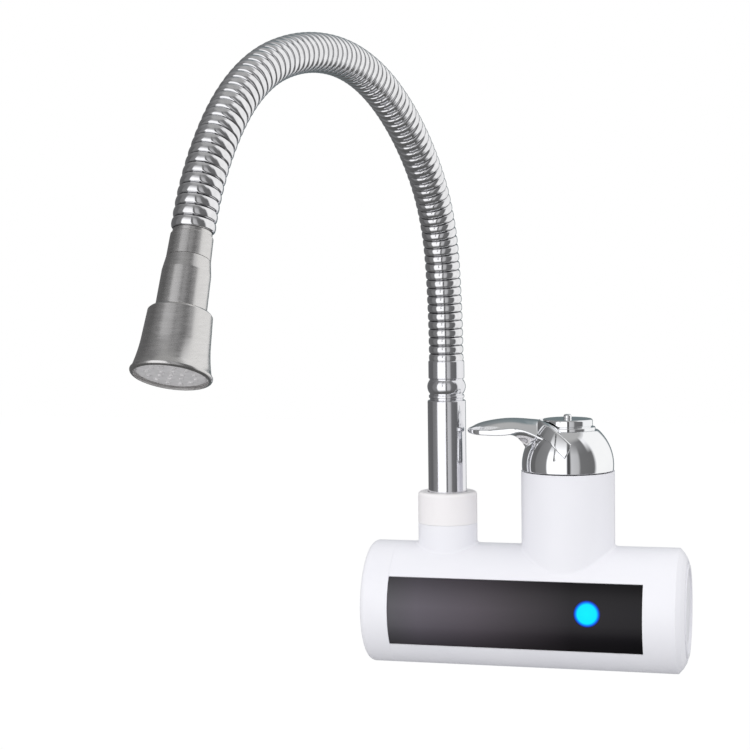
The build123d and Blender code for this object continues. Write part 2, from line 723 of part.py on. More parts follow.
def cartridge_nut():
    """Hexagon nut that screws over the valve block and clamps the cartridge."""
    bottom = VALVE_TOP - CARTRIDGE_NUT_SKIRT
    top = VALVE_TOP + CARTRIDGE_NUT_WALL
    nut = hexagon(CARTRIDGE_NUT_HEX, (0, BODY_Y, bottom), (0, BODY_Y, top))
    nut -= upright(VALVE_R + SEAT, 0, bottom, VALVE_TOP)
    return nut - upright(SPINDLE_R + CARTRIDGE_NECK_WALL + SEAT, 0, bottom, top)


def wall_inlet():
    """Male nipple that the wall fitting takes, with its hexagon and its stem in the valve."""
    nipple = rod(INLET_THREAD_R, (0, 0, 0), (0, INLET_THREAD_LENGTH, 0))
    nipple += hexagon(INLET_HEX, (0, -INLET_HEX_LENGTH, 0), (0, 0, 0))
    nipple += rod(INLET_BARREL_R, (0, BARREL_FRONT, 0), (0, -INLET_HEX_LENGTH, 0))
    nipple += rod(INLET_STEM_R, (0, STEM_FRONT, 0), (0, BARREL_FRONT, 0))
    tip = nipple.edges().filter_by(GeomType.CIRCLE).sort_by(Axis.Y)[-1]
    nipple = chamfer(tip, INLET_CHAMFER)
    return nipple - rod(INLET_BORE_R, (0, STEM_FRONT, 0), (0, INLET_THREAD_LENGTH, 0))


def inlet_locknut():
    """Thin nut that pulls the shell's rear pad against the valve block."""
    start = (0, REAR_PAD_Y, 0)
    end = (0, REAR_PAD_Y + LOCKNUT_LENGTH, 0)
    return hexagon(LOCKNUT_HEX, start, end) - rod(INLET_BARREL_R + SEAT, start, end)


def inlet_filter():
    """Wire mesh screen, a cross-barred disc in the nipple's bore."""
    end_y = INLET_THREAD_LENGTH - FILTER_SETBACK
    start_y = end_y - FILTER_THICKNESS
    rim_r = INLET_BORE_R - SEAT
    screen = tube(rim_r, rim_r - FILTER_THICKNESS, (0, start_y, 0), (0, end_y, 0))
    for offset in (-FILTER_PITCH, 0.0, FILTER_PITCH):
        low = offset - FILTER_BAR / 2
        high = offset + FILTER_BAR / 2
        screen += block((low, start_y, -INLET_BORE_R), (high, end_y, INLET_BORE_R))
        screen += block((-INLET_BORE_R, start_y, low), (INLET_BORE_R, end_y, high))
    return screen & rod(rim_r, (0, start_y, 0), (0, end_y, 0))


def control_board():
    """Board that switches the element, on edge in the right part of the body."""
    y = BODY_Y + CONTROL_BOARD_SETBACK
    bore = SHELL_BORE_R - SPIGOT_WALL - SEAT
    half = math.sqrt(bore**2 - (CONTROL_BOARD_SETBACK + BOARD_THICKNESS) ** 2) - SEAT
    return block(
        (CONTROL_BOARD_X, y, -half),
        (CONTROL_BOARD_X + CONTROL_BOARD_LENGTH, y + BOARD_THICKNESS, half),
    )


def power_relay():
    left = CONTROL_BOARD_X + PART_INSET
    y = BODY_Y + CONTROL_BOARD_SETBACK
    case = block(
        (left, y - RELAY_DEPTH, RELAY_FOOT),
        (left + RELAY_LENGTH, y, RELAY_FOOT + RELAY_HEIGHT),
    )
    return fillet(case.edges().filter_by(Axis.Y), RELAY_EDGE_R)


def terminal_block():
    """Block with three screw terminals under the relay."""
    left = CONTROL_BOARD_X + PART_INSET
    back = BODY_Y + CONTROL_BOARD_SETBACK
    front = back - TERMINAL_BLOCK_DEPTH
    middle_z = TERMINAL_BLOCK_TOP - TERMINAL_BLOCK_HEIGHT / 2
    form = block(
        (left, front, TERMINAL_BLOCK_TOP - TERMINAL_BLOCK_HEIGHT),
        (left + TERMINAL_BLOCK_LENGTH, back, TERMINAL_BLOCK_TOP),
    )
    for k in (-1, 0, 1):
        x = left + TERMINAL_BLOCK_LENGTH / 2 + TERMINAL_PITCH * k
        form -= rod(TERMINAL_HOLE_R, (x, front, middle_z), (x, front + TERMINAL_HOLE_DEPTH, middle_z))
    return form


def reed_switch():
    """Glass reed in a holder, on the valve block beside the magnet float."""
    bottom = PISTON_BOTTOM + REED_RISE
    top = bottom + REED_LENGTH
    reed = upright(REED_R, VALVE_R + REED_R, bottom, top)
    for low in (bottom - REED_FOOT, top):
        reed += block(
            (VALVE_R - REED_R, BODY_Y - REED_R, low),
            (VALVE_R + REED_HOLDER_WIDTH, BODY_Y + REED_R, low + REED_FOOT),
        )
    return reed - upright(VALVE_R, 0, VALVE_BOTTOM, VALVE_TOP)


def cable_gland():
    """Flanged cable entry on the shell's rear pad."""
    seat = (GLAND_X, REAR_PAD_Y, GLAND_Z)
    step = (GLAND_X, REAR_PAD_Y + GLAND_FLANGE, GLAND_Z)
    end = (GLAND_X, REAR_PAD_Y + GLAND_LENGTH, GLAND_Z)
    gland = rod(GLAND_FLANGE_R, seat, step) + rod(GLAND_R, step, end)
    rim = gland.edges().filter_by(GeomType.CIRCLE).sort_by(Axis.Y)[-1]
    return fillet(rim, GLAND_EDGE_R) - rod(GLAND_BORE_R, seat, end)


def spout_ring(outer, inner, low, high):
    return tube(outer, inner, (SPOUT_X, BODY_Y, low), (SPOUT_X, BODY_Y, high))


def riser_tube():
    """Chrome riser: sealed foot, straight tube and the neck under the bead."""
    neck_start = RISER_TOP - NECK_HEIGHT
    riser = upright(RISER_R, SPOUT_X, RISER_BOTTOM, neck_start)
    riser += upright(NECK_R, SPOUT_X, neck_start, RISER_TOP)
    riser -= upright(RISER_R - RISER_FOOT_WALL, SPOUT_X, RISER_BOTTOM, RISER_TOP)
    foot_top = SLIP_RING_Z + 2 * SLIP_RING_HEIGHT
    riser -= upright(RISER_R - RISER_WALL, SPOUT_X, foot_top, neck_start - RISER_WALL)
    ring_top = SLIP_RING_Z + SLIP_RING_HEIGHT + SEAT
    riser -= spout_ring(RISER_R, RISER_R - SLIP_RING_DEPTH, SLIP_RING_Z - SEAT, ring_top)
    reach = ORING_R + SEAT
    for z in ORING_HEIGHTS:
        riser -= spout_ring(RISER_R, RISER_R - 2 * ORING_R, z - reach, z + reach)
    return riser


def spout_orings():
    """Two rings that seal the turning riser in its socket."""
    middle_r = RISER_R + SEAT / 2 - ORING_R
    ring = squeezed_ring(middle_r, ORING_R)
    return Part() + [Pos(SPOUT_X, BODY_Y, z) * ring for z in ORING_HEIGHTS]


def slip_ring():
    """Split ring in the riser's groove; the collar keeps it in the socket."""
    top = SLIP_RING_Z + SLIP_RING_HEIGHT
    ring = spout_ring(SLIP_RING_R, RISER_R - SLIP_RING_DEPTH + SEAT, SLIP_RING_Z, top)
    half = SLIP_RING_SLOT / 2
    return ring - block(
        (SPOUT_X - half, BODY_Y, SLIP_RING_Z), (SPOUT_X + half, BODY_Y + 2 * SLIP_RING_R, top)
    )


def lower_ferrule():
    """Barrel bead and sleeve that grip the gooseneck's first length on the riser."""
    bead_top = RISER_TOP + BEAD_HEIGHT
    sleeve_top = GOOSENECK_BASE + JOINT_GAP / 2 - SEAT
    sleeve_foot = bead_top + FERRULE_EDGE
    edge_foot = sleeve_top - FERRULE_EDGE
    outline = Curve() + [
        Line((0, 0, RISER_TOP), (NECK_R, 0, RISER_TOP)),
        ThreePointArc(
            (NECK_R, 0, RISER_TOP),
            (BEAD_R, 0, RISER_TOP + BEAD_HEIGHT / 2),
            (NECK_R, 0, bead_top),
        ),
        Line((NECK_R, 0, bead_top), (FERRULE_R, 0, sleeve_foot)),
        Line((FERRULE_R, 0, sleeve_foot), (FERRULE_R, 0, edge_foot)),
        Line((FERRULE_R, 0, edge_foot), (FERRULE_R - FERRULE_EDGE, 0, sleeve_top)),
        Line((FERRULE_R - FERRULE_EDGE, 0, sleeve_top), (0, 0, sleeve_top)),
        Line((0, 0, sleeve_top), (0, 0, RISER_TOP)),
    ]
    body = Pos(SPOUT_X, BODY_Y, 0) * revolve(make_face(outline), Axis.Z)
    body -= upright(HOSE_TAIL_R + SEAT, SPOUT_X, GOOSENECK_BASE - HOSE_TAIL_LENGTH, sleeve_top)
    return body - upright(HOSE_BORE_R, SPOUT_X, RISER_TOP, sleeve_top)


def swung(swing):
    """Level direction towards the user, turned to the left by an angle."""
    turn = math.radians(swing)
    return Vector(-math.sin(turn), -math.cos(turn), 0)


def segment_starts():
    """Reach, height and heading at each length's start, and at the gooseneck's end."""
    reach, height, heading = 0.0, GOOSENECK_BASE, 0.0
    starts = [(reach, height, heading)]
    for turn in SEGMENT_TURNS:
        reach, height, heading = step_along(starts[-1], turn, SEGMENT_LENGTH)
        starts.append((reach, height, heading))
    return starts


def step_along(start, turn, distance):
    """Point and heading after a distance along a length's arc."""
    reach, height, heading = start
    radius = SEGMENT_LENGTH / math.radians(turn)
    ahead = heading + math.radians(turn) * distance / SEGMENT_LENGTH
    reach += radius * (math.cos(heading) - math.cos(ahead))
    height += radius * (math.sin(ahead) - math.sin(heading))
    return reach, height, ahead


def hose_plane(place):
    """Plane square to the gooseneck, with a steady X axis across its arch."""
    reach, height, heading = place
    front = swung(GOOSENECK_SWING)
    up = Vector(0, 0, 1)
    origin = Vector(SPOUT_X, BODY_Y, height) + front * reach
    across = front.cross(up)
    return Plane(origin=origin, x_dir=across, z_dir=front * math.sin(heading) + up * math.cos(heading))


def rib_stations():
    """Distance and radius of the four circles of each rib."""
    ribbed = SEGMENT_LENGTH - JOINT_GAP
    width = (ribbed - (RIBS_PER_SEGMENT - 1) * RIB_GROOVE_WIDTH) / RIBS_PER_SEGMENT
    stations = []
    for k in range(RIBS_PER_SEGMENT):
        foot = JOINT_GAP / 2 + k * (width + RIB_GROOVE_WIDTH)
        stations.append((foot, RIB_GROOVE_R))
        stations.append((foot + RIB_SLOPE, RIB_CREST_R))
        stations.append((foot + width - RIB_SLOPE, RIB_CREST_R))
        stations.append((foot + width, RIB_GROOVE_R))
    return stations


def nested_ball(plane):
    """Ball end that turns in the cup of the length before it."""
    joined = JOINT_GAP / 2 + RIB_SLOPE
    slice_form = Cylinder(
        BALL_R, BALL_DEPTH + joined, align=(Align.CENTER, Align.CENTER, Align.MIN)
    )
    return plane * (Sphere(BALL_R) & Pos(0, 0, -BALL_DEPTH) * slice_form)


def crimped_tail(plane):
    """Plain end that the lower ferrule grips."""
    joined = JOINT_GAP / 2 + RIB_SLOPE
    tail = Cylinder(
        HOSE_TAIL_R, HOSE_TAIL_LENGTH + joined, align=(Align.CENTER, Align.CENTER, Align.MIN)
    )
    return plane * (Pos(0, 0, -HOSE_TAIL_LENGTH) * tail)


def gooseneck_segment(number):
    """One length of the ribbed gooseneck, bent to its share of the arch."""
    start = segment_starts()[number]
    turn = SEGMENT_TURNS[number]
    circles = [
        hose_plane(step_along(start, turn, distance)) * Circle(radius)
        for distance, radius in rib_stations()
    ]
    hose = loft(circles, ruled=True)
    first_end = crimped_tail if number == 0 else nested_ball
    hose += first_end(hose_plane(start))
    steps = RIBS_PER_SEGMENT // 2
    bore = [
        hose_plane(step_along(start, turn, SEGMENT_LENGTH * k / steps)) * Circle(HOSE_BORE_R)
        for k in range(steps + 1)
    ]
    hose -= loft(bore, ruled=True)
    throat = Cylinder(HOSE_BORE_R, 2 * BALL_R)
    hose -= hose_plane(start) * throat
    end = step_along(start, turn, SEGMENT_LENGTH)
    return hose - hose_plane(end) * Sphere(CUP_R)


def head_plane():
    """Plane at the gooseneck's end, with Z down the spray head's axis."""
    front = swung(HEAD_SWING)
    up = Vector(0, 0, 1)
    pitch = math.radians(HEAD_PITCH)
    end = hose_plane(segment_starts()[-1])
    axis = front * math.sin(pitch) + up * math.cos(pitch)
    return Plane(origin=end.origin, x_dir=front.cross(up), z_dir=axis)


def upper_ferrule():
    """Ring and crimped sleeve on the gooseneck's end, with the stem that the head screws on."""
    stem_end = END_FERRULE_END + STEM_LENGTH
    body = turned(
        [
            (0, HEAD_GAP),
            (END_RING_R, HEAD_GAP + RIB_SLOPE),
            (END_RING_R, END_FERRULE_START),
            (END_FERRULE_R, END_FERRULE_START + RIB_SLOPE),
            (END_FERRULE_LOW_R, END_FERRULE_END),
            (STEM_R, END_FERRULE_END),
            (STEM_R, stem_end),
            (0, stem_end),
        ]
    )
    ball_length = BALL_DEPTH + HEAD_GAP + RIB_SLOPE
    ball_form = Cylinder(BALL_R, ball_length, align=(Align.CENTER, Align.CENTER, Align.MIN))
    body += Sphere(BALL_R) & Pos(0, 0, -BALL_DEPTH) * ball_form
    bore = Cylinder(
        HOSE_BORE_R, stem_end + 2 * BALL_R, align=(Align.CENTER, Align.CENTER, Align.MIN)
    )
    return head_plane() * (body - Pos(0, 0, -BALL_R) * bore)


def head_nut():
    """Sleeve nut under the ferrule, flared out to its own width."""
    nut = turned(
        [
            (STEM_R + SEAT, END_FERRULE_END),
            (END_FERRULE_LOW_R, END_FERRULE_END),
            (NUT_TOP_R, NUT_SHOULDER),
            (NUT_LOW_R, NUT_END),
            (CORE_R + SEAT, NUT_END),
            (CORE_R + SEAT, CORE_TOP),
            (STEM_R + SEAT, CORE_TOP),
        ]
    )
    return head_plane() * nut


def seat_washer():
    """Washer between the ferrule's stem and the core."""
    start = END_FERRULE_END + STEM_LENGTH
    washer = Cylinder(STEM_R, CORE_TOP - start) - Cylinder(HOSE_BORE_R, CORE_TOP - start)
    return head_plane() * (Pos(0, 0, (start + CORE_TOP) / 2) * washer)


def head_core():
    """Hollow core that the nut holds and the bell turns on."""
    core = turned(
        [
            (HOSE_BORE_R, CORE_TOP),
            (CORE_R, CORE_TOP),
            (CORE_R, CORE_END - CORE_FLANGE),
            (CORE_FLANGE_R, CORE_END - CORE_FLANGE),
            (CORE_FLANGE_R, CORE_END),
            (HOSE_BORE_R, CORE_END),
        ]
    )
    return head_plane() * core


def bell_profile(inset):
    """Corners of the bell's side, from the shoulder to the rim."""
    return [
        (BELL_SHOULDER_R - inset, NUT_END + SWIVEL_GAP + inset),
        (BELL_TOP_R - inset, NUT_END + SWIVEL_GAP + BELL_TOP_R - BELL_SHOULDER_R + inset),
        (BELL_MID_R - inset, BELL_MID),
    ]


def bell_solid(inset, end):
    """Round body under the bell's side: straight to the middle, then flared to the rim."""
    top, shoulder, middle = bell_profile(inset)
    rim = (BELL_RIM_R - inset, end)
    belly = ((middle[0] + rim[0]) / 2 - BELL_DIP, (middle[1] + rim[1]) / 2)
    outline = Curve() + [
        Line((0, 0, top[1]), (top[0], 0, top[1])),
        Line((top[0], 0, top[1]), (shoulder[0], 0, shoulder[1])),
        Line((shoulder[0], 0, shoulder[1]), (middle[0], 0, middle[1])),
        ThreePointArc((middle[0], 0, middle[1]), (belly[0], 0, belly[1]), (rim[0], 0, rim[1])),
        Line((rim[0], 0, rim[1]), (0, 0, rim[1])),
        Line((0, 0, rim[1]), (0, 0, top[1])),
    ]
    return revolve(make_face(outline), Axis.Z)


def spray_bell():
    """Bell that turns on the core, flared to the spray face."""
    bell = bell_solid(0, BELL_END)
    ceiling = CORE_END - CORE_FLANGE - RUNNING
    bell -= rod(CORE_FLANGE_R + SWIVEL_GAP, (0, 0, ceiling), (0, 0, PLATE_SEAT))
    bell -= rod(BELL_RIM_R - BELL_WALL, (0, 0, PLATE_SEAT), (0, 0, BELL_END))
    bell -= rod(CORE_R + RUNNING, (0, 0, 0), (0, 0, BELL_END))
    return head_plane() * bell


def ring_of_holes(radius, ring_r, count, start, end):
    """Holes along Z, evenly spaced on a circle."""
    turns = [math.tau * k / count for k in range(count)]
    places = [(ring_r * math.cos(a), ring_r * math.sin(a)) for a in turns]
    return Part() + [rod(radius, (x, y, start), (x, y, end)) for x, y in places]


def mode_disc():
    """Disc under the core that sends the water to the middle or to the rings of holes."""
    start = CORE_END + SWIVEL_GAP
    disc = rod(CORE_FLANGE_R, (0, 0, start), (0, 0, PLATE_SEAT))
    disc -= ring_of_holes(MODE_HOLE_R, MODE_RING_R, MODE_HOLES, start, PLATE_SEAT)
    return head_plane() * disc


def spray_plate():
    """Round spray face inside the bell's lip, with its rings of holes."""
    end = PLATE_SEAT + PLATE_THICKNESS
    plate = rod(BELL_RIM_R - BELL_WALL - SEAT, (0, 0, PLATE_SEAT), (0, 0, end))
    plate -= rod(SPRAY_HOLE_R, (0, 0, PLATE_SEAT), (0, 0, end))
    plate -= ring_of_holes(SPRAY_HOLE_R, INNER_RING_R, INNER_RING_HOLES, PLATE_SEAT, end)
    plate -= ring_of_holes(SPRAY_HOLE_R, OUTER_RING_R, OUTER_RING_HOLES, PLATE_SEAT, end)
    return head_plane() * plate


def dome_solid(stand):
    """Dome under the handle's cap, or the same form grown or shrunk by a distance."""
    base_r = DOME_BASE_R + stand
    top_r = DOME_TOP_R + stand
    top = DOME_TOP + min(stand, 0)
    mid = (DOME_MID_R + stand, DOME_BASE + DOME_MID_RISE)
    outline = Curve() + [
        Line((0, 0, DOME_BASE), (base_r, 0, DOME_BASE)),
        ThreePointArc((base_r, 0, DOME_BASE), (mid[0], 0, mid[1]), (top_r, 0, top)),
        Line((top_r, 0, top), (0, 0, top)),
        Line((0, 0, top), (0, 0, DOME_BASE)),
    ]
    return revolve(make_face(outline), Axis.Z)


def lever_slice(reach, half_width, edge_foot, edge_top, crown, keel_half, keel_foot):
    """Slice across the lever: crowned on top, with hollow flanks down to a narrow keel."""

    def corner(y, height):
        return (-reach, y, DOME_TOP + height)

    flank_y = keel_half + FLANK_HOLLOW * (half_width - keel_half)
    flank = edge_foot - FLANK_HOLLOW * (edge_foot - keel_foot)
    outline = Curve() + [
        Line(corner(-half_width, edge_foot), corner(-half_width, edge_top)),
        ThreePointArc(corner(-half_width, edge_top), corner(0, crown), corner(half_width, edge_top)),
        Line(corner(half_width, edge_top), corner(half_width, edge_foot)),
        ThreePointArc(
            corner(half_width, edge_foot), corner(flank_y, flank), corner(keel_half, keel_foot)
        ),
        Line(corner(keel_half, keel_foot), corner(-keel_half, keel_foot)),
        ThreePointArc(
            corner(-keel_half, keel_foot), corner(-flank_y, flank), corner(-half_width, edge_foot)
        ),
    ]
    return make_face(outline)


def lever():
    """Leaf-shaped paddle on a keel that deepens into a neck on the dome's shoulder."""
    return loft([lever_slice(*sizes) for sizes in LEVER_SLICES])


def saddle():
    """Strap that wraps the dome below the lever, down to a rounded point on each side."""
    foot_r = DOME_BASE_R + SADDLE_FOOT_STAND
    foot = DOME_BASE + SADDLE_FOOT_RISE
    top_r = DOME_TOP_R - SADDLE_TOP_INSET
    top = DOME_TOP + SADDLE_TOP_HEIGHT
    middle = (SADDLE_MID_R, 0, DOME_TOP + SADDLE_MID_HEIGHT)
    outline = Curve() + [
        Line((0, 0, foot), (foot_r, 0, foot)),
        ThreePointArc((foot_r, 0, foot), middle, (top_r, 0, top)),
        Line((top_r, 0, top), (0, 0, top)),
        Line((0, 0, top), (0, 0, foot)),
    ]
    wrap = revolve(make_face(outline), Axis.Z)
    lower = [(x, 0, DOME_TOP + z) for x, z in SADDLE_LOWER_EDGE]
    upper = [(x, 0, DOME_TOP + z) for x, z in SADDLE_UPPER_EDGE]
    end = (SADDLE_END[0], 0, DOME_TOP + SADDLE_END[1])
    side = Curve() + [
        Spline(*lower),
        Line(lower[-1], upper[0]),
        Spline(*upper),
        ThreePointArc(upper[-1], end, lower[0]),
    ]
    return wrap & extrude(make_face(side), foot_r, both=True)


def handle():
    """Chrome dome and lever in one piece, hollow under the dome, with a hub for the spindle."""
    form = dome_solid(0) + saddle() + lever()
    form -= rod(CAP_RING_R + TRIM_GAP, (0, 0, DOME_TOP), (0, 0, CAP_TOP))
    form -= dome_solid(-DOME_WALL)
    form += rod(HUB_R, (0, 0, SPINDLE_FLAT_FOOT), (0, 0, DOME_TOP))
    form -= spindle_end(SEAT)
    form -= rod(HANDLE_SCREW_R + SEAT, (0, 0, SPINDLE_FLAT_FOOT), (0, 0, DOME_TOP))
    return handle_place() * form


def handle_place():
    return Pos(0, BODY_Y, 0) * Rot(0, 0, LEVER_SWING)


def handle_cap():
    """Round cap on the dome: a wider foot ring, a groove and the disc above it."""
    foot_top = DOME_TOP + CAP_RING_HEIGHT
    groove_top = foot_top + CAP_GROOVE_HEIGHT
    cap = turned(
        [
            (HANDLE_SCREW_R + SEAT, DOME_TOP),
            (CAP_RING_R, DOME_TOP),
            (CAP_RING_R, foot_top),
            (CAP_DISC_R - CAP_DISC_EDGE, foot_top),
            (CAP_DISC_R - CAP_DISC_EDGE, groove_top),
            (CAP_DISC_R, groove_top),
            (CAP_DISC_R, CAP_TOP - CAP_DISC_EDGE),
            (CAP_DISC_R - CAP_DISC_EDGE, CAP_TOP),
            (HANDLE_SCREW_R + SEAT, CAP_TOP),
        ]
    )
    return handle_place() * cap


def handle_screw():
    """Screw down the cap's middle into the spindle, with its small round head."""
    screw = rod(HANDLE_SCREW_R, (0, 0, HANDLE_SCREW_TIP), (0, 0, CAP_TOP))
    head = rod(NUB_R, (0, 0, CAP_TOP), (0, 0, CAP_TOP + NUB_HEIGHT))
    head = fillet(head.edges().filter_by(GeomType.CIRCLE).sort_by(Axis.Z)[-1], NUB_R / 2)
    return handle_place() * (screw + head)


PIECES = {
    "body_shell": body_shell,
    "left_end_cap": left_end_cap,
    "right_end_cap": right_end_cap,
    "display_window": display_window,
    "indicator_lens": indicator_lens,
    "display_board": display_board,
    "indicator_led": indicator_led,
    "heating_tank": heating_tank,
    "tank_cover": tank_cover,
    "tank_seal": tank_seal,
    "tank_screws": tank_screws,
    "heating_element": heating_element,
    "element_terminals": element_terminals,
    "thermal_cutout": thermal_cutout,
    "temperature_probe": temperature_probe,
    "outlet_socket": outlet_socket,
    "collar_nut": collar_nut,
    "transfer_tube": transfer_tube,
    "valve_body": valve_body,
    "flow_piston": flow_piston,
    "fixed_disc": fixed_disc,
    "moving_disc": moving_disc,
    "cartridge_body": cartridge_body,
    "cartridge_spindle": cartridge_spindle,
    "cartridge_nut": cartridge_nut,
    "wall_inlet": wall_inlet,
    "inlet_locknut": inlet_locknut,
    "inlet_filter": inlet_filter,
    "control_board": control_board,
    "power_relay": power_relay,
    "terminal_block": terminal_block,
    "reed_switch": reed_switch,
    "cable_gland": cable_gland,
    "riser_tube": riser_tube,
    "spout_orings": spout_orings,
    "slip_ring": slip_ring,
    "lower_ferrule": lower_ferrule,
    "upper_ferrule": upper_ferrule,
    "head_nut": head_nut,
    "seat_washer": seat_washer,
    "head_core": head_core,
    "spray_bell": spray_bell,
    "mode_disc": mode_disc,
    "spray_plate": spray_plate,
    "handle": handle,
    "handle_cap": handle_cap,
    "handle_screw": handle_screw,
}

os.makedirs("parts", exist_ok=True)
for name, build in PIECES.items():
    export_step(build(), f"parts/{name}.step")
for number in range(len(SEGMENT_TURNS)):
    export_step(gooseneck_segment(number), f"parts/gooseneck_{number + 1}.step")
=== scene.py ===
import json
import math

import bmesh
import bpy
from mathutils import Matrix, Vector


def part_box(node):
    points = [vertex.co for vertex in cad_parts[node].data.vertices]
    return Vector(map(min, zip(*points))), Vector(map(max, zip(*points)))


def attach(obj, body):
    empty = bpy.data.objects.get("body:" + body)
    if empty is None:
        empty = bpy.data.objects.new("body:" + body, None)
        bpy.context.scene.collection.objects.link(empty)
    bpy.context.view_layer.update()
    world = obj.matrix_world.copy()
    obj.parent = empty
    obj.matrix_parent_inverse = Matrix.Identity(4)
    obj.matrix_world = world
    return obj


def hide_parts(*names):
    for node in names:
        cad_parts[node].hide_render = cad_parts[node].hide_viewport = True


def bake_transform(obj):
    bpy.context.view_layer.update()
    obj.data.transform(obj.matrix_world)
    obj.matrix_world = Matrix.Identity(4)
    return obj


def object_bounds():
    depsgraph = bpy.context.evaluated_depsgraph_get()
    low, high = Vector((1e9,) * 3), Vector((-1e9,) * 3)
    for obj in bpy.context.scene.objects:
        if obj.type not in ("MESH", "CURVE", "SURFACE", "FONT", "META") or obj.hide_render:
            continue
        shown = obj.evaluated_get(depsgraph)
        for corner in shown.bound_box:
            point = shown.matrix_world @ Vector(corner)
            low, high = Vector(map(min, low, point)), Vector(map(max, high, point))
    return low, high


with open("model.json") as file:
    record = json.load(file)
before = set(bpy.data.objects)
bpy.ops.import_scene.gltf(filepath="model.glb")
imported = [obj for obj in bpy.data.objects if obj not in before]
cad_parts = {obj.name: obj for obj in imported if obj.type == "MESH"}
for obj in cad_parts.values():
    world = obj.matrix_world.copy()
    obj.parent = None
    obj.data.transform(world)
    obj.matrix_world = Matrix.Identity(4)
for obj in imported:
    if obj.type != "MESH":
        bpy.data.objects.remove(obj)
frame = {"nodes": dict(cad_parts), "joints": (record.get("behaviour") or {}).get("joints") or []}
CAD_BOX = [list(corner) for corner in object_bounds()]
NODES = frame["nodes"]
JOINTS = {joint["name"]: joint for joint in frame["joints"]}
MM = 0.001


# Small helpers for meshes, whose points are in millimetres
def spot(radius, angle, height):
    return Vector((radius * math.cos(angle), radius * math.sin(angle), height))


def ring_mesh(name, rings, closed=True, smooth_angle=32.0):
    """Skin over rings of points, smooth but for its sharp corners.

    A ring may be a single point. The ends of a skin that isn't closed are capped.
    """
    spans = []
    start = 0
    for ring in rings:
        spans.append(range(start, start + len(ring)))
        start += len(ring)
    sides = max(len(ring) for ring in rings)
    faces = [] if closed else [tuple(spans[0])[::-1], tuple(spans[-1])]
    for a, b in zip(spans, spans[1:] + spans[:1] if closed else spans[1:]):
        for k in range(sides):
            after = (k + 1) % sides
            corners = a[k % len(a)], a[after % len(a)], b[after % len(b)], b[k % len(b)]
            face = list(dict.fromkeys(corners))
            if len(face) > 2:
                faces.append(face)
    mesh = bpy.data.meshes.new(name)
    mesh.from_pydata([point * MM for ring in rings for point in ring], [], faces)
    mesh.validate()
    form = bmesh.new()
    form.from_mesh(mesh)
    bmesh.ops.recalc_face_normals(form, faces=form.faces)
    form.to_mesh(mesh)
    form.free()
    mesh.shade_smooth()
    mesh.set_sharp_from_angle(angle=math.radians(smooth_angle))
    return mesh


def turned_mesh(name, outline, place, sides=128, smooth_angle=32.0):
    """Closed outline of (radius, height) turned about the Z axis of a placing matrix.

    A radius is a number or a function of the angle and the height.
    """
    rings = []
    for radius, height in outline:
        ring = []
        for k in range(sides):
            angle = math.tau * k / sides
            r = radius(angle, height) if callable(radius) else radius
            ring.append(place @ spot(r, angle, height))
            if r < 1e-6:
                break
        rings.append(ring)
    return ring_mesh(name, rings, True, smooth_angle)


def rounded(corners, steps=4):
    """Closed outline of (radius, height) points, each corner eased by its third value."""
    outline = []
    count = len(corners)
    for k, (r, h, ease) in enumerate(corners):
        if ease <= 0:
            outline.append((r, h))
            continue
        here = Vector((r, h))
        before = Vector(corners[k - 1][:2]) - here
        after = Vector(corners[(k + 1) % count][:2]) - here
        half = before.angle(after) / 2
        reach = min(ease / math.tan(half), before.length * 0.49, after.length * 0.49)
        radius = reach * math.tan(half)
        start = here + before.normalized() * reach
        towards = (before.normalized() + after.normalized()).normalized()
        middle = here + towards * (radius / math.sin(half))
        turn = math.pi - 2 * half
        sign = 1 if before.cross(after) < 0 else -1
        for step in range(steps + 1):
            point = middle + Matrix.Rotation(sign * turn * step / steps, 2) @ (start - middle)
            outline.append((max(point.x, 0.0), point.y))
    return outline


def joined(name, meshes, smooth_angle=40.0):
    """One mesh from several closed forms."""
    form = bmesh.new()
    for mesh in meshes:
        form.from_mesh(mesh)
    whole = bpy.data.meshes.new(name)
    form.to_mesh(whole)
    form.free()
    whole.set_sharp_from_angle(angle=math.radians(smooth_angle))
    return whole


# Small helpers for materials
def feed(tree, node, sockets):
    """Feeds a node's inputs with plain values or with the outputs of other nodes."""
    for socket, source in sockets.items():
        if isinstance(source, bpy.types.NodeSocket):
            tree.links.new(source, node.inputs[socket])
        else:
            node.inputs[socket].default_value = source
    return node


def made(tree, kind, output, sockets, operation=None):
    """Adds a node with its inputs fed, and gives one of its outputs."""
    node = tree.nodes.new("ShaderNode" + kind)
    if operation:
        node.operation = operation
    return feed(tree, node, sockets).outputs[output]


def maths(tree, operation, *values):
    return made(tree, "Math", "Value", dict(enumerate(values)), operation)


def mixed(tree, factor, a, b, blend="MIX"):
    node = tree.nodes.new("ShaderNodeMix")
    node.data_type = "RGBA"
    node.blend_type = blend
    return feed(tree, node, {"Factor": factor, "A": a, "B": b}).outputs["Result"]


def own_place(tree):
    return made(tree, "TexCoord", "Object", {})


def parted(tree, vector):
    """The X, Y and Z outputs of a vector."""
    return feed(tree, tree.nodes.new("ShaderNodeSeparateXYZ"), {"Vector": vector}).outputs


def grain(tree, scale, stretch=(1, 1, 1), detail=4.0):
    """Noise over the object's own coordinates, stretched along its axes."""
    place = made(tree, "Mapping", "Vector", {"Vector": own_place(tree), "Scale": stretch})
    return made(tree, "TexNoise", "Fac", {"Vector": place, "Scale": scale, "Detail": detail})


def ramp(tree, source, stops):
    """Colour ramp from (position, colour) stops."""
    node = tree.nodes.new("ShaderNodeValToRGB")
    elements = node.color_ramp.elements
    while len(elements) < len(stops):
        elements.new(0.5)
    for element, (position, colour) in zip(elements, stops):
        element.position = position
        element.color = (*colour, 1.0)
    return feed(tree, node, {"Fac": source}).outputs["Color"]


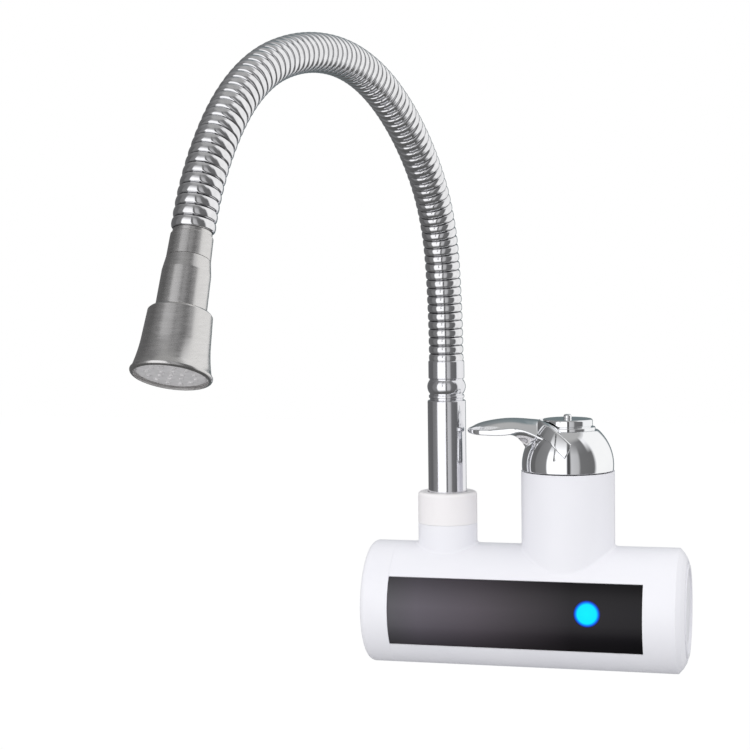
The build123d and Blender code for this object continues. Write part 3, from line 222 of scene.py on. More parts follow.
def spread(tree, source, low, high, from_low=0.3, from_high=0.7):
    """Maps one range of values to another."""
    span = {"From Min": from_low, "From Max": from_high, "To Min": low, "To Max": high}
    return made(tree, "MapRange", "Result", {"Value": source, **span})


def bump(tree, shader, source, distance, strength):
    """Relief from a noise, its distance in millimetres."""
    relief = {"Height": source, "Distance": distance * MM, "Strength": strength}
    feed(tree, shader, {"Normal": made(tree, "Bump", "Normal", relief)})


def grey(value, tint=(1.0, 1.0, 1.0)):
    return tuple(value * t for t in tint)


def emptied(block, output="OutputMaterial"):
    """Node tree of a material or world that holds nothing but its output node."""
    block.use_nodes = True
    tree = block.node_tree
    tree.nodes.clear()
    return tree, tree.nodes.new("ShaderNode" + output)


def blank(name, **sockets):
    """Material with one Principled shader, whose plain values are given by socket name."""
    material = bpy.data.materials.new(name)
    tree, output = emptied(material)
    shader = tree.nodes.new("ShaderNodeBsdfPrincipled")
    feed(tree, shader, {socket.replace("_", " "): value for socket, value in sockets.items()})
    feed(tree, output, {"Surface": shader.outputs["BSDF"]})
    return material, tree, shader


def finish(name, tones, gloss, tone_grain, gloss_grain=None, relief_grain=None, relief=0.0,
           strength=0.5, **sockets):
    """Material whose colour, gloss and relief vary over a grain, or over a grain each."""
    material, tree, shader = blank(name, **sockets)
    tone = grain(tree, *tone_grain)
    fine = grain(tree, *gloss_grain) if gloss_grain else tone
    colour = ramp(tree, tone, [(0.3, tones[0]), (0.7, tones[1])])
    feed(tree, shader, {"Base Color": colour, "Roughness": spread(tree, fine, *gloss)})
    if relief:
        rise = grain(tree, *relief_grain) if relief_grain else fine
        bump(tree, shader, rise, relief, strength)
    return material


def everyday(name, colour, roughness, scale, relief=0.02, **sockets):
    """Finish whose colour and gloss vary a little over a fine grain."""
    tones = [c * 0.9 for c in colour], [min(c * 1.06, 1.0) for c in colour]
    gloss = roughness * 0.85, roughness * 1.2
    return finish(name, tones, gloss, (scale,), relief=relief, strength=1.0, **sockets)


# Materials of the casing and the window
EVEN = (1, 1, 1)
FLOW_MARKS = (30.0, EVEN, 2.0)
MOULD_SKIN = (600.0, EVEN, 2.0)


def white_plastic():
    """Glossy moulded ABS, with a faint lavender tint and flow marks."""
    tones = (0.835, 0.835, 0.875), (0.855, 0.855, 0.89)
    return finish("white_plastic", tones, (0.34, 0.42), FLOW_MARKS, MOULD_SKIN, Specular_IOR_Level=0.3)


def collar_plastic():
    """The collar's white, a little warmer than the casing's."""
    tones = (0.865, 0.845, 0.85), (0.885, 0.865, 0.87)
    return finish(
        "collar_plastic", tones, (0.32, 0.42), FLOW_MARKS, MOULD_SKIN, relief=0.002, Specular_IOR_Level=0.3
    )


def smoked_window():
    """Polished smoked acrylic over a dark display: its own dark colour, with a painted purple sheen that
    lightens it left of its middle and painted shade towards its top and bottom.
    """
    material, tree, shader = blank("smoked_window", Roughness=0.28, Specular_IOR_Level=0.25)
    place = parted(tree, own_place(tree))
    # painted sheen: lighter and purpler towards the left, falling to the window's own near-black on the
    # right
    across = [
        (0.0, (0.088, 0.085, 0.094)),
        (0.12, (0.105, 0.094, 0.114)),
        (0.34, (0.080, 0.068, 0.082)),
        (0.52, (0.045, 0.038, 0.045)),
        (0.72, (0.012, 0.010, 0.013)),
        (1.0, (0.006, 0.005, 0.007)),
    ]
    # painted shade: darker towards the bottom and top edges
    upward = [(0.0, grey(0.4)), (0.3, grey(0.9)), (0.6, grey(1.0)), (1.0, grey(0.5))]
    colour = ramp(tree, spread(tree, place["X"], 0.0, 1.0, -0.087, 0.041), across)
    painted_edge_shade = ramp(tree, spread(tree, place["Z"], 0.0, 1.0, -0.017, 0.017), upward)
    feed(tree, shader, {"Base Color": mixed(tree, 1.0, colour, painted_edge_shade, "MULTIPLY")})
    bump(tree, shader, grain(tree, 120.0, detail=1.0), 0.01, 0.4)
    return material


def lit_lens():
    """Round light: a cyan core that falls off to a dark blue rim."""
    low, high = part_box("indicator_lens")
    material, tree, shader = blank("lit_lens", Roughness=0.35, Specular_IOR_Level=0.1)
    centre = {0: own_place(tree), 1: (low + high) / 2}
    away = made(tree, "VectorMath", "Vector", centre, "SUBTRACT")
    flat = made(tree, "VectorMath", "Vector", {0: away, 1: (1.0, 0.0, 1.0)}, "MULTIPLY")
    length = made(tree, "VectorMath", "Value", {0: flat}, "LENGTH")
    out = spread(tree, length, 0.0, 1.0, 0.0, (high.x - low.x) / 2)
    core = (0.0, 0.78, 1.0)
    rim = [(0.84, (0.0, 0.22, 0.95)), (0.95, (0.01, 0.03, 0.45)), (1.0, (0.01, 0.01, 0.12))]
    glow = ramp(tree, out, [(0.0, core), (0.72, core), *rim])
    base = ramp(tree, out, [(0.0, (0.0, 0.10, 0.14)), (1.0, (0.0, 0.01, 0.06))])
    feed(tree, shader, {"Emission Color": glow, "Emission Strength": 1.0, "Base Color": base})
    return material


# Materials of the metals
def polished_chrome():
    """Mirror plate over a cast handle, with the faintest smudges."""
    tones = (0.86, 0.87, 0.885), (0.93, 0.935, 0.94)
    smudge, waves = (60.0, EVEN, 5.0), (90.0, EVEN, 1.0)
    return finish(
        "polished_chrome", tones, (0.015, 0.06), smudge, relief_grain=waves, relief=0.004, Metallic=1.0
    )


def drawn_chrome():
    """Chrome on drawn tube: long fine streaks up and down."""
    tones = (0.70, 0.70, 0.73), (0.92, 0.92, 0.94)
    streak = (220.0, (1, 1, 0.04), 5.0)
    return finish("drawn_chrome", tones, (0.05, 0.16), streak, relief=0.02, Metallic=1.0)


def satin_nickel():
    """Satin nickel plate, its fine brushing round the head."""
    tones = (0.64, 0.63, 0.62), (0.71, 0.70, 0.69)
    brush = (700.0, (0.25, 0.25, 1.6))
    return finish("satin_nickel", tones, (0.22, 0.3), brush, relief=0.004, Metallic=1.0)


def hose_steel():
    """Stainless strip, brushed round the hose, with painted shade down in the grooves."""
    material, tree, shader = blank("hose_steel", Metallic=1.0)
    brush = grain(tree, 500.0)
    groove = tree.nodes.new("ShaderNodeAttribute")
    groove.attribute_name = "groove"
    bright = ramp(tree, brush, [(0.3, (0.74, 0.74, 0.75)), (0.7, (0.86, 0.86, 0.87))])
    # painted shade: the groove attribute mixes a near-black colour into the grooves
    colour = mixed(tree, groove.outputs["Fac"], bright, (0.07, 0.07, 0.08, 1.0))
    feed(tree, shader, {"Base Color": colour, "Roughness": spread(tree, brush, 0.07, 0.15)})
    bump(tree, shader, brush, 0.012, 0.5)
    return material


# Colour, roughness and scale of the grain, and for the spray's face its relief
PLAIN_FINISHES = {
    "spray_face": ((0.68, 0.67, 0.67), 0.45, 500.0, 0.003),
    "led_white": ((0.85, 0.86, 0.82), 0.3, 400.0),
    "board_green": ((0.02, 0.16, 0.07), 0.35, 250.0),
    "component_black": ((0.03, 0.03, 0.035), 0.5, 600.0),
    "terminal_grey": ((0.33, 0.34, 0.36), 0.5, 500.0),
    "gland_white": ((0.80, 0.80, 0.82), 0.42, 700.0),
    "seal_rubber": ((0.02, 0.02, 0.02), 0.7, 800.0),
    "disc_ceramic": ((0.85, 0.84, 0.80), 0.18, 350.0),
}
METAL_FINISHES = {
    "stainless": ((0.60, 0.60, 0.61), 0.26, 300.0),
    "element_sheath": ((0.36, 0.35, 0.34), 0.4, 260.0),
    "brass": ((0.72, 0.50, 0.20), 0.24, 240.0),
    "inlet_chrome": ((0.80, 0.81, 0.82), 0.12, 200.0),
    "spindle_brass": ((0.66, 0.47, 0.20), 0.3, 260.0),
}
MATERIALS = {
    "body_white": white_plastic(),
    "collar": collar_plastic(),
    "window_black": smoked_window(),
    "indicator_blue": lit_lens(),
    "chrome": polished_chrome(),
    "riser": drawn_chrome(),
    "hose_steel": hose_steel(),
    "satin_nickel": satin_nickel(),
    "nylon": everyday("nylon", (0.68, 0.67, 0.62), 0.45, 500.0, Subsurface_Weight=0.1),
}
for slot, look in PLAIN_FINISHES.items():
    MATERIALS[slot] = everyday(slot, *look)
for slot, look in METAL_FINISHES.items():
    MATERIALS[slot] = everyday(slot, *look, Metallic=1.0)

# Each node that is kept wears the material of its slot
for node in NODES.values():
    for k, packed in enumerate(node.data.materials):
        node.data.materials[k] = MATERIALS[packed.name.split(".")[0]]


# Places that the pieces share, in millimetres
HEATER_AXIS_Y = JOINTS["handle_turn"]["pos_m"][1] / MM
SPOUT_X = JOINTS["spout_swivel"]["pos_m"][0] / MM
COLUMN = Matrix.Translation((SPOUT_X, HEATER_AXIS_Y, 0.0))
HEATER = Matrix.Translation((0.0, HEATER_AXIS_Y, 0.0))
LEVER_SWING = 3.3
HANDLE_PLACE = HEATER @ Matrix.Rotation(math.radians(LEVER_SWING), 4, "Z")
HEAD_AXIS = Vector(JOINTS["spray_turn"]["axis"]).normalized()
HEAD_END = Vector(JOINTS["head_tilt"]["pos_m"]) / MM
HOSE_BORE_R = 4.6


def head_place():
    """Matrix at the gooseneck's end, with Z down the spray head's axis."""
    across = HEAD_AXIS.cross(Vector((0, 0, 1))).normalized()
    turn = Matrix((across, HEAD_AXIS.cross(across), HEAD_AXIS)).transposed().to_4x4()
    return Matrix.Translation(HEAD_END) @ turn


HEAD = head_place()


def link(name, mesh, material):
    piece = bpy.data.objects.new(name, mesh)
    bpy.context.scene.collection.objects.link(piece)
    mesh.materials.append(material)
    return piece


def add_piece(node, mesh, body, slot, material=None, weighted=True):
    """Piece rides on a body in a node's place.

    Weighted normals keep large flat faces flat beside small rounded edges.
    """
    piece = link(node + "_looks", mesh, material or MATERIALS[slot])
    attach(piece, body)
    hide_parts(node)
    if weighted:
        piece.modifiers.new("weighted", "WEIGHTED_NORMAL").keep_sharp = True


def add_turned(node, outline, place, body, slot, material=None, sides=128):
    add_piece(node, turned_mesh(node + "_form", outline, place, sides), body, slot, material)


# Casing
WELD = 0.001
FLAT_ANGLE = 0.4
CORNER_ANGLE = 25.0


def add_eased(node, slot, width, material=None):
    """Copy of one of the heater's nodes, its sharp edges rounded by a width."""
    form = bmesh.new()
    form.from_mesh(NODES[node].data)
    bmesh.ops.remove_doubles(form, verts=form.verts, dist=WELD * MM)
    flat = math.radians(FLAT_ANGLE)
    bmesh.ops.dissolve_limit(form, angle_limit=flat, verts=form.verts, edges=form.edges)
    corner = math.radians(CORNER_ANGLE)
    bmesh.ops.bevel(
        form,
        geom=[e for e in form.edges if e.is_manifold and e.calc_face_angle() > corner],
        offset=width * MM,
        offset_type="OFFSET",
        segments=2,
        profile=0.5,
        affect="EDGES",
        clamp_overlap=True,
        miter_outer="ARC",
    )
    mesh = bpy.data.meshes.new(node + "_form")
    form.to_mesh(mesh)
    form.free()
    mesh.shade_smooth()
    mesh.set_sharp_from_angle(angle=corner)
    add_piece(node, mesh, "heater", slot, material)


# Right end cap, measured along the heater's axis
CAP_AXIS = HEATER @ Matrix.Rotation(math.pi / 2, 4, "Y")
CAP_SEAM = 41.2
CAP_OUTER_R = 31.0
SPIGOT_START = 35.2
SPIGOT_R = 28.35
SPIGOT_BORE_R = 26.55
CAP_INNER_FLOOR = 57.1
CAP_RIM = 55.2
RING_R = 23.0
RING_INNER_R = 20.9
RING_FLOOR = 58.8
CAP_TOP = 59.88
ROSETTE_R = 19.5
ROSETTE_HUB_R = 2.4
ROSETTE_TOP = 59.7
ROSETTE_SIDES = 12


def rosette():
    """Low pyramid of flat facets on the cap's face."""
    levels = (ROSETTE_R, RING_FLOOR - 0.4), (ROSETTE_R, RING_FLOOR + 0.05), (ROSETTE_HUB_R, ROSETTE_TOP)
    turns = [math.tau * k / ROSETTE_SIDES for k in range(ROSETTE_SIDES)]
    rings = [[CAP_AXIS @ spot(radius, turn, height) for turn in turns] for radius, height in levels]
    return ring_mesh("rosette", rings, False, 0.5)


def add_right_cap():
    """Cap with a crisp rim, a face that rises in steps to a ring, and the rosette."""
    outline = rounded([
        (SPIGOT_BORE_R, SPIGOT_START, 0.3),
        (SPIGOT_R, SPIGOT_START, 0.3),
        (SPIGOT_R, CAP_SEAM, 0),
        (CAP_OUTER_R, CAP_SEAM, 0),
        (CAP_OUTER_R, CAP_RIM, 0.6),
        (28.4, 57.4, 0.8),
        (25.8, 58.9, 0.5),
        (24.4, 59.3, 0.2),
        (24.2, RING_FLOOR, 0.1),
        (RING_R + 0.15, RING_FLOOR, 0.1),
        (RING_R, CAP_TOP, 0.3),
        (RING_INNER_R, CAP_TOP, 0.3),
        (RING_INNER_R - 0.1, RING_FLOOR, 0.1),
        (0, RING_FLOOR, 0),
        (0, CAP_INNER_FLOOR, 0),
        (SPIGOT_BORE_R, CAP_INNER_FLOOR, 0.6),
    ])
    parts = [turned_mesh("cap_part", outline, CAP_AXIS, 160), rosette()]
    mesh = joined("right_end_cap_looks", parts, 28.0)
    add_piece("right_end_cap", mesh, "heater", "body_white", weighted=False)


# Wall side: the threaded nipple and the cable gland, measured from the wall
INLET_AXIS = Matrix.Rotation(-math.pi / 2, 4, "X")
THREAD_R = 10.48
THREAD_LENGTH = 14.98
THREAD_PITCH = 1.814
THREAD_DEPTH = 1.16
THREAD_CHAMFER = 0.9
THREAD_ROWS = 66
INLET_BORE_R = 7.0
INLET_STEM_R = 8.4
INLET_BARREL_R = 12.3
STEM_START = -41.0
BARREL_START = -25.6
HEX_START = -8.0
HEX_HALF = 15.0
HEX_CHAMFER_R = 15.5
HEX_CHAMFER_SLOPE = 1.73
HEX_ROWS = (0.0, 0.35, 0.7, 1.05, 6.95, 7.3, 7.65, 8.0)
HEX_ON_X = (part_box("wall_inlet")[1].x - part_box("wall_inlet")[0].x) / 2 / MM > HEX_HALF + 1
GLAND_PLACE = Matrix.Translation((28.5, 0.0, -8.0)) @ INLET_AXIS
GLAND_START = -19.0
GLAND_FLANGE = -16.0
GLAND_END = -5.0
GLAND_FLANGE_R = 11.0
GLAND_R = 7.0
GLAND_BORE_R = 3.6
FLUTES = 24
FLUTE_DEPTH = 0.5
GRIPS = 12
GRIP_DEPTH = 0.44


def hex_radius(angle, height):
    """Hexagon chamfered at both ends."""
    turn = angle if HEX_ON_X else angle + math.pi / 6
    flat = HEX_HALF / math.cos(turn % (math.pi / 3) - math.pi / 6)
    depth = min(height - HEX_START, -height)
    return min(flat, HEX_CHAMFER_R + HEX_CHAMFER_SLOPE * depth)


def thread_radius(angle, height):
    """Pipe thread, its end chamfered and its start run out."""
    phase = height / THREAD_PITCH - angle / math.tau
    depth = THREAD_DEPTH * (0.5 + 0.5 * math.cos(math.tau * phase)) ** 0.8
    lead = THREAD_R - THREAD_CHAMFER + (THREAD_LENGTH - height)
    return min(THREAD_R - depth, lead)


def add_wall_inlet():
    outline = [
        (INLET_STEM_R, STEM_START),
        (INLET_STEM_R, BARREL_START),
        (INLET_BARREL_R, BARREL_START),
        (INLET_BARREL_R, HEX_START),
    ]
    outline += [(hex_radius, HEX_START + depth) for depth in HEX_ROWS]
    for step in range(THREAD_ROWS + 1):
        outline.append((thread_radius, THREAD_LENGTH * step / THREAD_ROWS))
    outline += [(INLET_BORE_R, THREAD_LENGTH), (INLET_BORE_R, STEM_START)]
    mesh = turned_mesh("wall_inlet_form", outline, INLET_AXIS, 96, 50.0)
    add_piece("wall_inlet", mesh, "heater", "inlet_chrome", weighted=False)


def flute_radius(angle, height):
    return GLAND_FLANGE_R - FLUTE_DEPTH / 2 * (1 - math.cos(FLUTES * angle))


def grip_radius(angle, height):
    return GLAND_R - GRIP_DEPTH / 2 * (1 - math.cos(GRIPS * angle))


def add_gland():
    """Fluted flange nut and a grooved dome nut round the cable's way in."""
    outline = [
        (GLAND_FLANGE_R - 0.7, GLAND_START),
        (flute_radius, GLAND_START + 0.4),
        (flute_radius, GLAND_FLANGE - 0.4),
        (GLAND_FLANGE_R - 0.7, GLAND_FLANGE),
        (GLAND_R - 0.4, GLAND_FLANGE),
        (GLAND_R - 0.4, GLAND_FLANGE + 0.8),
        (grip_radius, GLAND_FLANGE + 1.0),
        (grip_radius, GLAND_END - 2.4),
        (GLAND_R - 0.25, GLAND_END - 2.0),
        (GLAND_R - 0.6, GLAND_END - 0.9),
        (GLAND_R - 1.3, GLAND_END - 0.3),
        (GLAND_R - 2.1, GLAND_END),
        (GLAND_BORE_R, GLAND_END),
        (GLAND_BORE_R, GLAND_START),
    ]
    mesh = turned_mesh("cable_gland_form", outline, GLAND_PLACE, 144, 35.0)
    add_piece("cable_gland", mesh, "heater", "gland_white", weighted=False)


# Riser and lower ferrule
RISER_R = 9.7
RISER_BORE_R = 8.4
RISER_FOOT_BORE_R = 6.8
RISER_BOTTOM = 29.0
RISER_TOP = 107.2
NECK_R = 8.5
NECK_HEIGHT = 3.4
NECK_RING_R = 9.0
SLIP_RING_Z = 44.2
SLIP_RING_HEIGHT = 2.6
SLIP_RING_DEPTH = 0.75
ORING_HEIGHTS = (33.5, 38.0)
ORING_HALF = 0.8
ORING_DEPTH = 1.5
BEAD_R = 9.75
BEAD_HEIGHT = 7.0
BEAD_STEPS = 12
FERRULE_R = 9.1
FERRULE_TOP = 123.95
FERRULE_EDGE = 0.8


def add_riser():
    """Tube with two seal grooves and a slip ring's groove at its foot, and a ringed neck."""
    neck = RISER_TOP - NECK_HEIGHT
    foot_top = SLIP_RING_Z + 2 * SLIP_RING_HEIGHT
    grooves = [(z - ORING_HALF, z + ORING_HALF, ORING_DEPTH) for z in ORING_HEIGHTS]
    grooves.append((SLIP_RING_Z, SLIP_RING_Z + SLIP_RING_HEIGHT, SLIP_RING_DEPTH))
    corners = [(RISER_FOOT_BORE_R, RISER_BOTTOM, 0.2), (RISER_R, RISER_BOTTOM, 0.4)]
    for low, high, depth in grooves:
        corners += [(RISER_R, low, 0), (RISER_R - depth, low, 0)]
        corners += [(RISER_R - depth, high, 0), (RISER_R, high, 0)]
    corners += [
        (RISER_R, neck - 0.2, 0.6),
        (NECK_R, neck + 0.3, 0.2),
        (NECK_R, neck + 1.0, 0.1),
        (NECK_RING_R, neck + 1.4, 0.4),
        (NECK_RING_R, RISER_TOP - 0.9, 0.4),
        (NECK_R, RISER_TOP - 0.5, 0.1),
        (NECK_R, RISER_TOP, 0),
        (RISER_FOOT_BORE_R, RISER_TOP, 0),
        (RISER_FOOT_BORE_R, neck - 1.3, 0),
        (RISER_BORE_R, neck - 1.3, 0),
        (RISER_BORE_R, foot_top, 0),
        (RISER_FOOT_BORE_R, foot_top, 0),
    ]
    add_turned("riser_tube", rounded(corners), COLUMN, "spout", "chrome", MATERIALS["riser"])


def add_lower_ferrule():
    """Barrel bead, a fine groove above it, and the plain sleeve."""
    outline = [(HOSE_BORE_R, RISER_TOP)]
    for step in range(BEAD_STEPS + 1):
        share = step / BEAD_STEPS
        swell = math.sin(math.pi * share) ** 0.8
        outline.append((NECK_R + (BEAD_R - NECK_R) * swell, RISER_TOP + BEAD_HEIGHT * share))
    foot = RISER_TOP + BEAD_HEIGHT
    outline += rounded([
        (HOSE_BORE_R, foot + 0.01, 0),
        (NECK_R, foot + 0.01, 0),
        (NECK_R, foot + 0.5, 0),
        (FERRULE_R, foot + FERRULE_EDGE, 0.5),
        (FERRULE_R, FERRULE_TOP, 0.7),
        (HOSE_BORE_R, FERRULE_TOP, 0),
    ])[2:]
    add_turned("lower_ferrule", outline, COLUMN, "spout", "chrome", MATERIALS["riser"])


# Gooseneck
RIB_PITCH = 50.7 / 12
RIBS_PER_LENGTH = 12
RIB_CREST_R = 8.75
RIB_GROOVE_R = 7.85
RIB_GROOVE_WIDTH = 0.6
RIB_SHOULDER_R = 8.15
RIB_STEPS = 10
HOSE_SIDES = 72
LENGTH = RIBS_PER_LENGTH * RIB_PITCH


def hose_arcs():
    """Arcs from the riser up through the joints: start, heading, turning axis and turn."""
    names = ["gooseneck_bend"] + ["gooseneck_bend_%d" % k for k in range(2, 7)] + ["head_tilt"]
    joints = [Vector(JOINTS[name]["pos_m"]) / MM for name in names]
    first = joints[0] - COLUMN.translation
    reach = Vector((first.x, first.y, 0.0)).length
    tilt = 2 * math.asin(reach / LENGTH)
    start = Vector((SPOUT_X, HEATER_AXIS_Y, joints[0].z - reach / math.tan(tilt / 2)))
    heading = Vector((0.0, 0.0, 1.0))
    arcs = []
    for end in joints:
        chord = end - start
        turn = 2 * heading.angle(chord)
        axis = heading.cross(chord).normalized()
        arcs.append((start, heading.copy(), axis, turn, chord.length))
        heading = Matrix.Rotation(turn, 3, axis) @ heading
        start = end
    return arcs


HOSE_ARCS = hose_arcs()


def hose_frame(distance):
    """Matrix at a distance along the gooseneck, Z along it and X across its arch."""
    number = min(max(int(distance / LENGTH), 0), len(HOSE_ARCS) - 1)
    start, heading, axis, turn, chord = HOSE_ARCS[number]
    angle = turn * (distance - number * LENGTH) / LENGTH
    radius = chord / (2 * math.sin(turn / 2))
    inward = axis.cross(heading)
    point = start + inward * radius * (1 - math.cos(angle)) + heading * radius * math.sin(angle)
    ahead = Matrix.Rotation(angle, 3, axis) @ heading
    turned_frame = Matrix((axis, ahead.cross(axis), ahead)).transposed().to_4x4()
    return Matrix.Translation(point) @ turned_frame


def rib_outline(first, last):
    """Distance and radius of the outer skin, rounded ribs with narrow grooves between."""
    crest_width = RIB_PITCH - RIB_GROOVE_WIDTH
    outline = []
    for rib in range(first, last):
        foot = rib * RIB_PITCH
        outline.append((foot, RIB_GROOVE_R))
        for step in range(RIB_STEPS + 1):
            along = -math.cos(math.pi * step / RIB_STEPS)
            swell = (1 - along**2) ** 0.5
            distance = foot + RIB_GROOVE_WIDTH / 2 + crest_width * (1 + along) / 2
            outline.append((distance, RIB_SHOULDER_R + (RIB_CREST_R - RIB_SHOULDER_R) * swell))
    outline.append((last * RIB_PITCH, RIB_GROOVE_R))
    return outline


def hose_mesh(name, first, last):
    """Closed ribbed tube from one rib to another, with its bore."""
    turns = [math.tau * k / HOSE_SIDES for k in range(HOSE_SIDES)]
    bore = [(rib * RIB_PITCH, HOSE_BORE_R) for rib in range(last, first - 1, -1)]
    rings = []
    dark = []
    for distance, radius in rib_outline(first, last) + bore:
        place = hose_frame(distance)
        rings.append([place @ spot(radius, turn, 0) for turn in turns])
        # points down in the grooves are marked for the material's painted shade
        dark += [1.0 if radius < RIB_SHOULDER_R - 0.01 else 0.0] * HOSE_SIDES
    mesh = ring_mesh(name, rings, True, 50.0)
    mesh.attributes.new("groove", "FLOAT", "POINT").data.foreach_set("value", dark)
    return mesh


def add_gooseneck():
    """Eight lengths that meet in grooves half way between the joints; only the first is attached to a
    body, the spout's.
    """
    half = RIBS_PER_LENGTH // 2
    carriers = ["spout"] + ["gooseneck_%d" % k for k in range(2, 8)] + ["spray_head"]
    for number, carrier in enumerate(carriers):
        middle = number * RIBS_PER_LENGTH
        end = min(middle + half, RIBS_PER_LENGTH * len(HOSE_ARCS))
        name = "hose_%d" % (number + 1)
        mesh = hose_mesh(name, max(middle - half, 0), end)
        piece = link(name, mesh, MATERIALS["hose_steel"])
        if number == 0:
            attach(piece, carrier)
        else:
            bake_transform(piece)
        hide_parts("gooseneck_%d" % min(number + 1, len(HOSE_ARCS)))


# Spray head, measured down its axis from the gooseneck's end
END_RING_R = 7.8
FERRULE_START = 2.2
END_FERRULE_R = 8.4
END_FERRULE_LOW_R = 8.7
FERRULE_END = 12.2
NUT_SHOULDER = 17.8
NUT_TOP_R = 9.6
NUT_LOW_R = 9.95
NUT_END = 33.6
STEM_R = 6.2
STEM_END = 22.2
CORE_R = 8.0
CORE_TOP = 25.0
BELL_TOP = 33.9
BELL_SHOULDER_R = 11.8
BELL_TOP_R = 12.55
BELL_MID = 47.0
BELL_MID_R = 13.35
BELL_RIM_R = 15.85
BELL_END = 60.2
BELL_WALL = 1.4
BELL_LIP = 1.0
RIM_ROUND = 1.3
CORE_CEILING = 44.0
CHAMBER_R = 10.7
PLATE_THICKNESS = 2.0
PLATE_R = 14.4
PLATE_GROOVE_R = 13.5
PLATE_GROOVE = 0.7
NOZZLE_RINGS = ((0.0, 1), (4.6, 6), (9.4, 12))
NOZZLE_R = 0.95
NOZZLE_HEIGHT = 0.45
NOZZLE_BORE_R = 0.3
FLARE_STEPS = 10
FLARE_DIP = 0.35
RIM_CLEAR = 0.7


def bell_side():
    """Hollow curve of the bell's side from its middle down, and the round of its rim."""
    side = []
    for step in range(FLARE_STEPS + 1):
        share = step / FLARE_STEPS
        radius = BELL_MID_R + (BELL_RIM_R - BELL_MID_R) * share
        radius -= 4 * FLARE_DIP * share * (1 - share)
        height = BELL_MID + (BELL_END - BELL_MID) * share
        if height < BELL_END - RIM_ROUND - RIM_CLEAR:
            side.append((radius, height, 0))
    for degrees in range(-10, 91, 10):
        angle = math.radians(degrees)
        radius = BELL_RIM_R - RIM_ROUND + RIM_ROUND * math.cos(angle)
        side.append((radius, BELL_END - RIM_ROUND + RIM_ROUND * math.sin(angle), 0))
    return side


def add_spray_head():
    ferrule = rounded([
        (HOSE_BORE_R, 0.2, 0),
        (END_RING_R - 0.5, 0.2, 0),
        (END_RING_R, 0.7, 0.3),
        (END_RING_R, FERRULE_START, 0),
        (END_FERRULE_R, FERRULE_START + 0.2, 0.4),
        (END_FERRULE_LOW_R, FERRULE_END - 0.15, 0),
        (END_FERRULE_LOW_R - 0.25, FERRULE_END, 0),
        (STEM_R, FERRULE_END, 0),
        (STEM_R, STEM_END, 0.3),
        (HOSE_BORE_R, STEM_END, 0),
    ])
    add_turned("upper_ferrule", ferrule, HEAD, "spray_head", "satin_nickel")
    nut = rounded([
        (STEM_R + 0.05, FERRULE_END, 0),
        (END_FERRULE_LOW_R, FERRULE_END, 0.2),
        (NUT_TOP_R - 0.05, NUT_SHOULDER, 3.0),
        (NUT_LOW_R, NUT_END, 0.5),
        (CORE_R + 0.05, NUT_END, 0),
        (CORE_R + 0.05, CORE_TOP, 0),
        (STEM_R + 0.05, CORE_TOP, 0),
    ])
    add_turned("head_nut", nut, HEAD, "spray_head", "satin_nickel")
    lip = BELL_RIM_R - BELL_WALL
    seat = BELL_END - BELL_LIP - PLATE_THICKNESS
    bell = rounded([
        (CORE_R + 0.05, BELL_TOP, 0),
        (BELL_SHOULDER_R, BELL_TOP, 0.3),
        (BELL_TOP_R, BELL_TOP + 0.75, 0.5),
        *bell_side(),
        (lip, BELL_END, 0),
        (lip, seat, 0),
        (CHAMBER_R, seat, 0),
        (CHAMBER_R, CORE_CEILING - 0.05, 0),
        (CORE_R + 0.05, CORE_CEILING - 0.05, 0),
    ])
    add_turned("spray_bell", bell, HEAD, "spray_bell", "satin_nickel")


def add_spray_plate():
    """Face plate with a groove inside the rim and low soft nozzles."""
    face = BELL_END - BELL_LIP
    foot = face - PLATE_THICKNESS
    plate = rounded([
        (0, foot, 0),
        (PLATE_R, foot, 0),
        (PLATE_R, face - PLATE_GROOVE, 0),
        (PLATE_GROOVE_R, face - PLATE_GROOVE, 0),
        (PLATE_GROOVE_R - 0.3, face - 0.1, 0.3),
        (0, face, 0),
    ])
    nozzle = rounded([
        (0, face - 0.3, 0),
        (NOZZLE_R, face - 0.3, 0),
        (NOZZLE_R * 0.8, face + NOZZLE_HEIGHT, 0.3),
        (NOZZLE_BORE_R, face + NOZZLE_HEIGHT, 0),
        (NOZZLE_BORE_R, face, 0),
        (0, face, 0),
    ])
    parts = [turned_mesh("plate_part", plate, HEAD)]
    for radius, count in NOZZLE_RINGS:
        for k in range(count):
            shift = Matrix.Translation(spot(radius, math.tau * k / count, 0.0))
            parts.append(turned_mesh("nozzle_part", nozzle, HEAD @ shift, 20))
    mesh = joined("spray_plate_looks", parts)
    add_piece("spray_plate", mesh, "spray_bell", "spray_face", weighted=False)


# Handle. Heights called Z are the frame's, and those in tables are over the dome's top
DOME_BASE_Z = 69.3
DOME_TOP_Z = 89.3
DOME_BASE_R = 22.8
DOME_MID_R = 21.5
DOME_MID_Z = 79.9
DOME_TOP_R = 15.3
DOME_WALL = 2.0
DOME_STEPS = 28
WRAP_FOOT_R = 23.4
WRAP_FOOT_Z = 75.3
WRAP_MID_R = 19.9
WRAP_MID_Z = 86.0
WRAP_TOP_R = 14.1
WRAP_TOP_Z = 94.9
CAP_CLEAR_R = 13.95
HUB_R = 8.0
SPINDLE_R = 4.05
SPINDLE_TOP_Z = 86.0
HUB_FOOT_Z = 70.0
SCREW_R = 1.45


class Arc:
    """Circle through three (radius, height) points."""

    def __init__(self, a, b, c):
        a, b, c = Vector(a), Vector(b), Vector(c)
        ab, ac = b - a, c - a
        cross = 2 * (ab.x * ac.y - ab.y * ac.x)
        x = (ac.y * ab.length_squared - ab.y * ac.length_squared) / cross
        y = (ab.x * ac.length_squared - ac.x * ab.length_squared) / cross
        self.centre = a + Vector((x, y))
        self.radius = Vector((x, y)).length
        self.ends = a, c

    def radius_at(self, z):
        lift = z - self.centre.y
        return self.centre.x + math.sqrt(max(self.radius**2 - lift**2, 0.0))

    def points(self, steps):
        first, last = [math.asin((end.y - self.centre.y) / self.radius) for end in self.ends]
        found = []
        for step in range(steps + 1):
            angle = first + (last - first) * step / steps
            x, y = self.radius * math.cos(angle), self.radius * math.sin(angle)
            found.append((self.centre.x + x, self.centre.y + y))
        return found


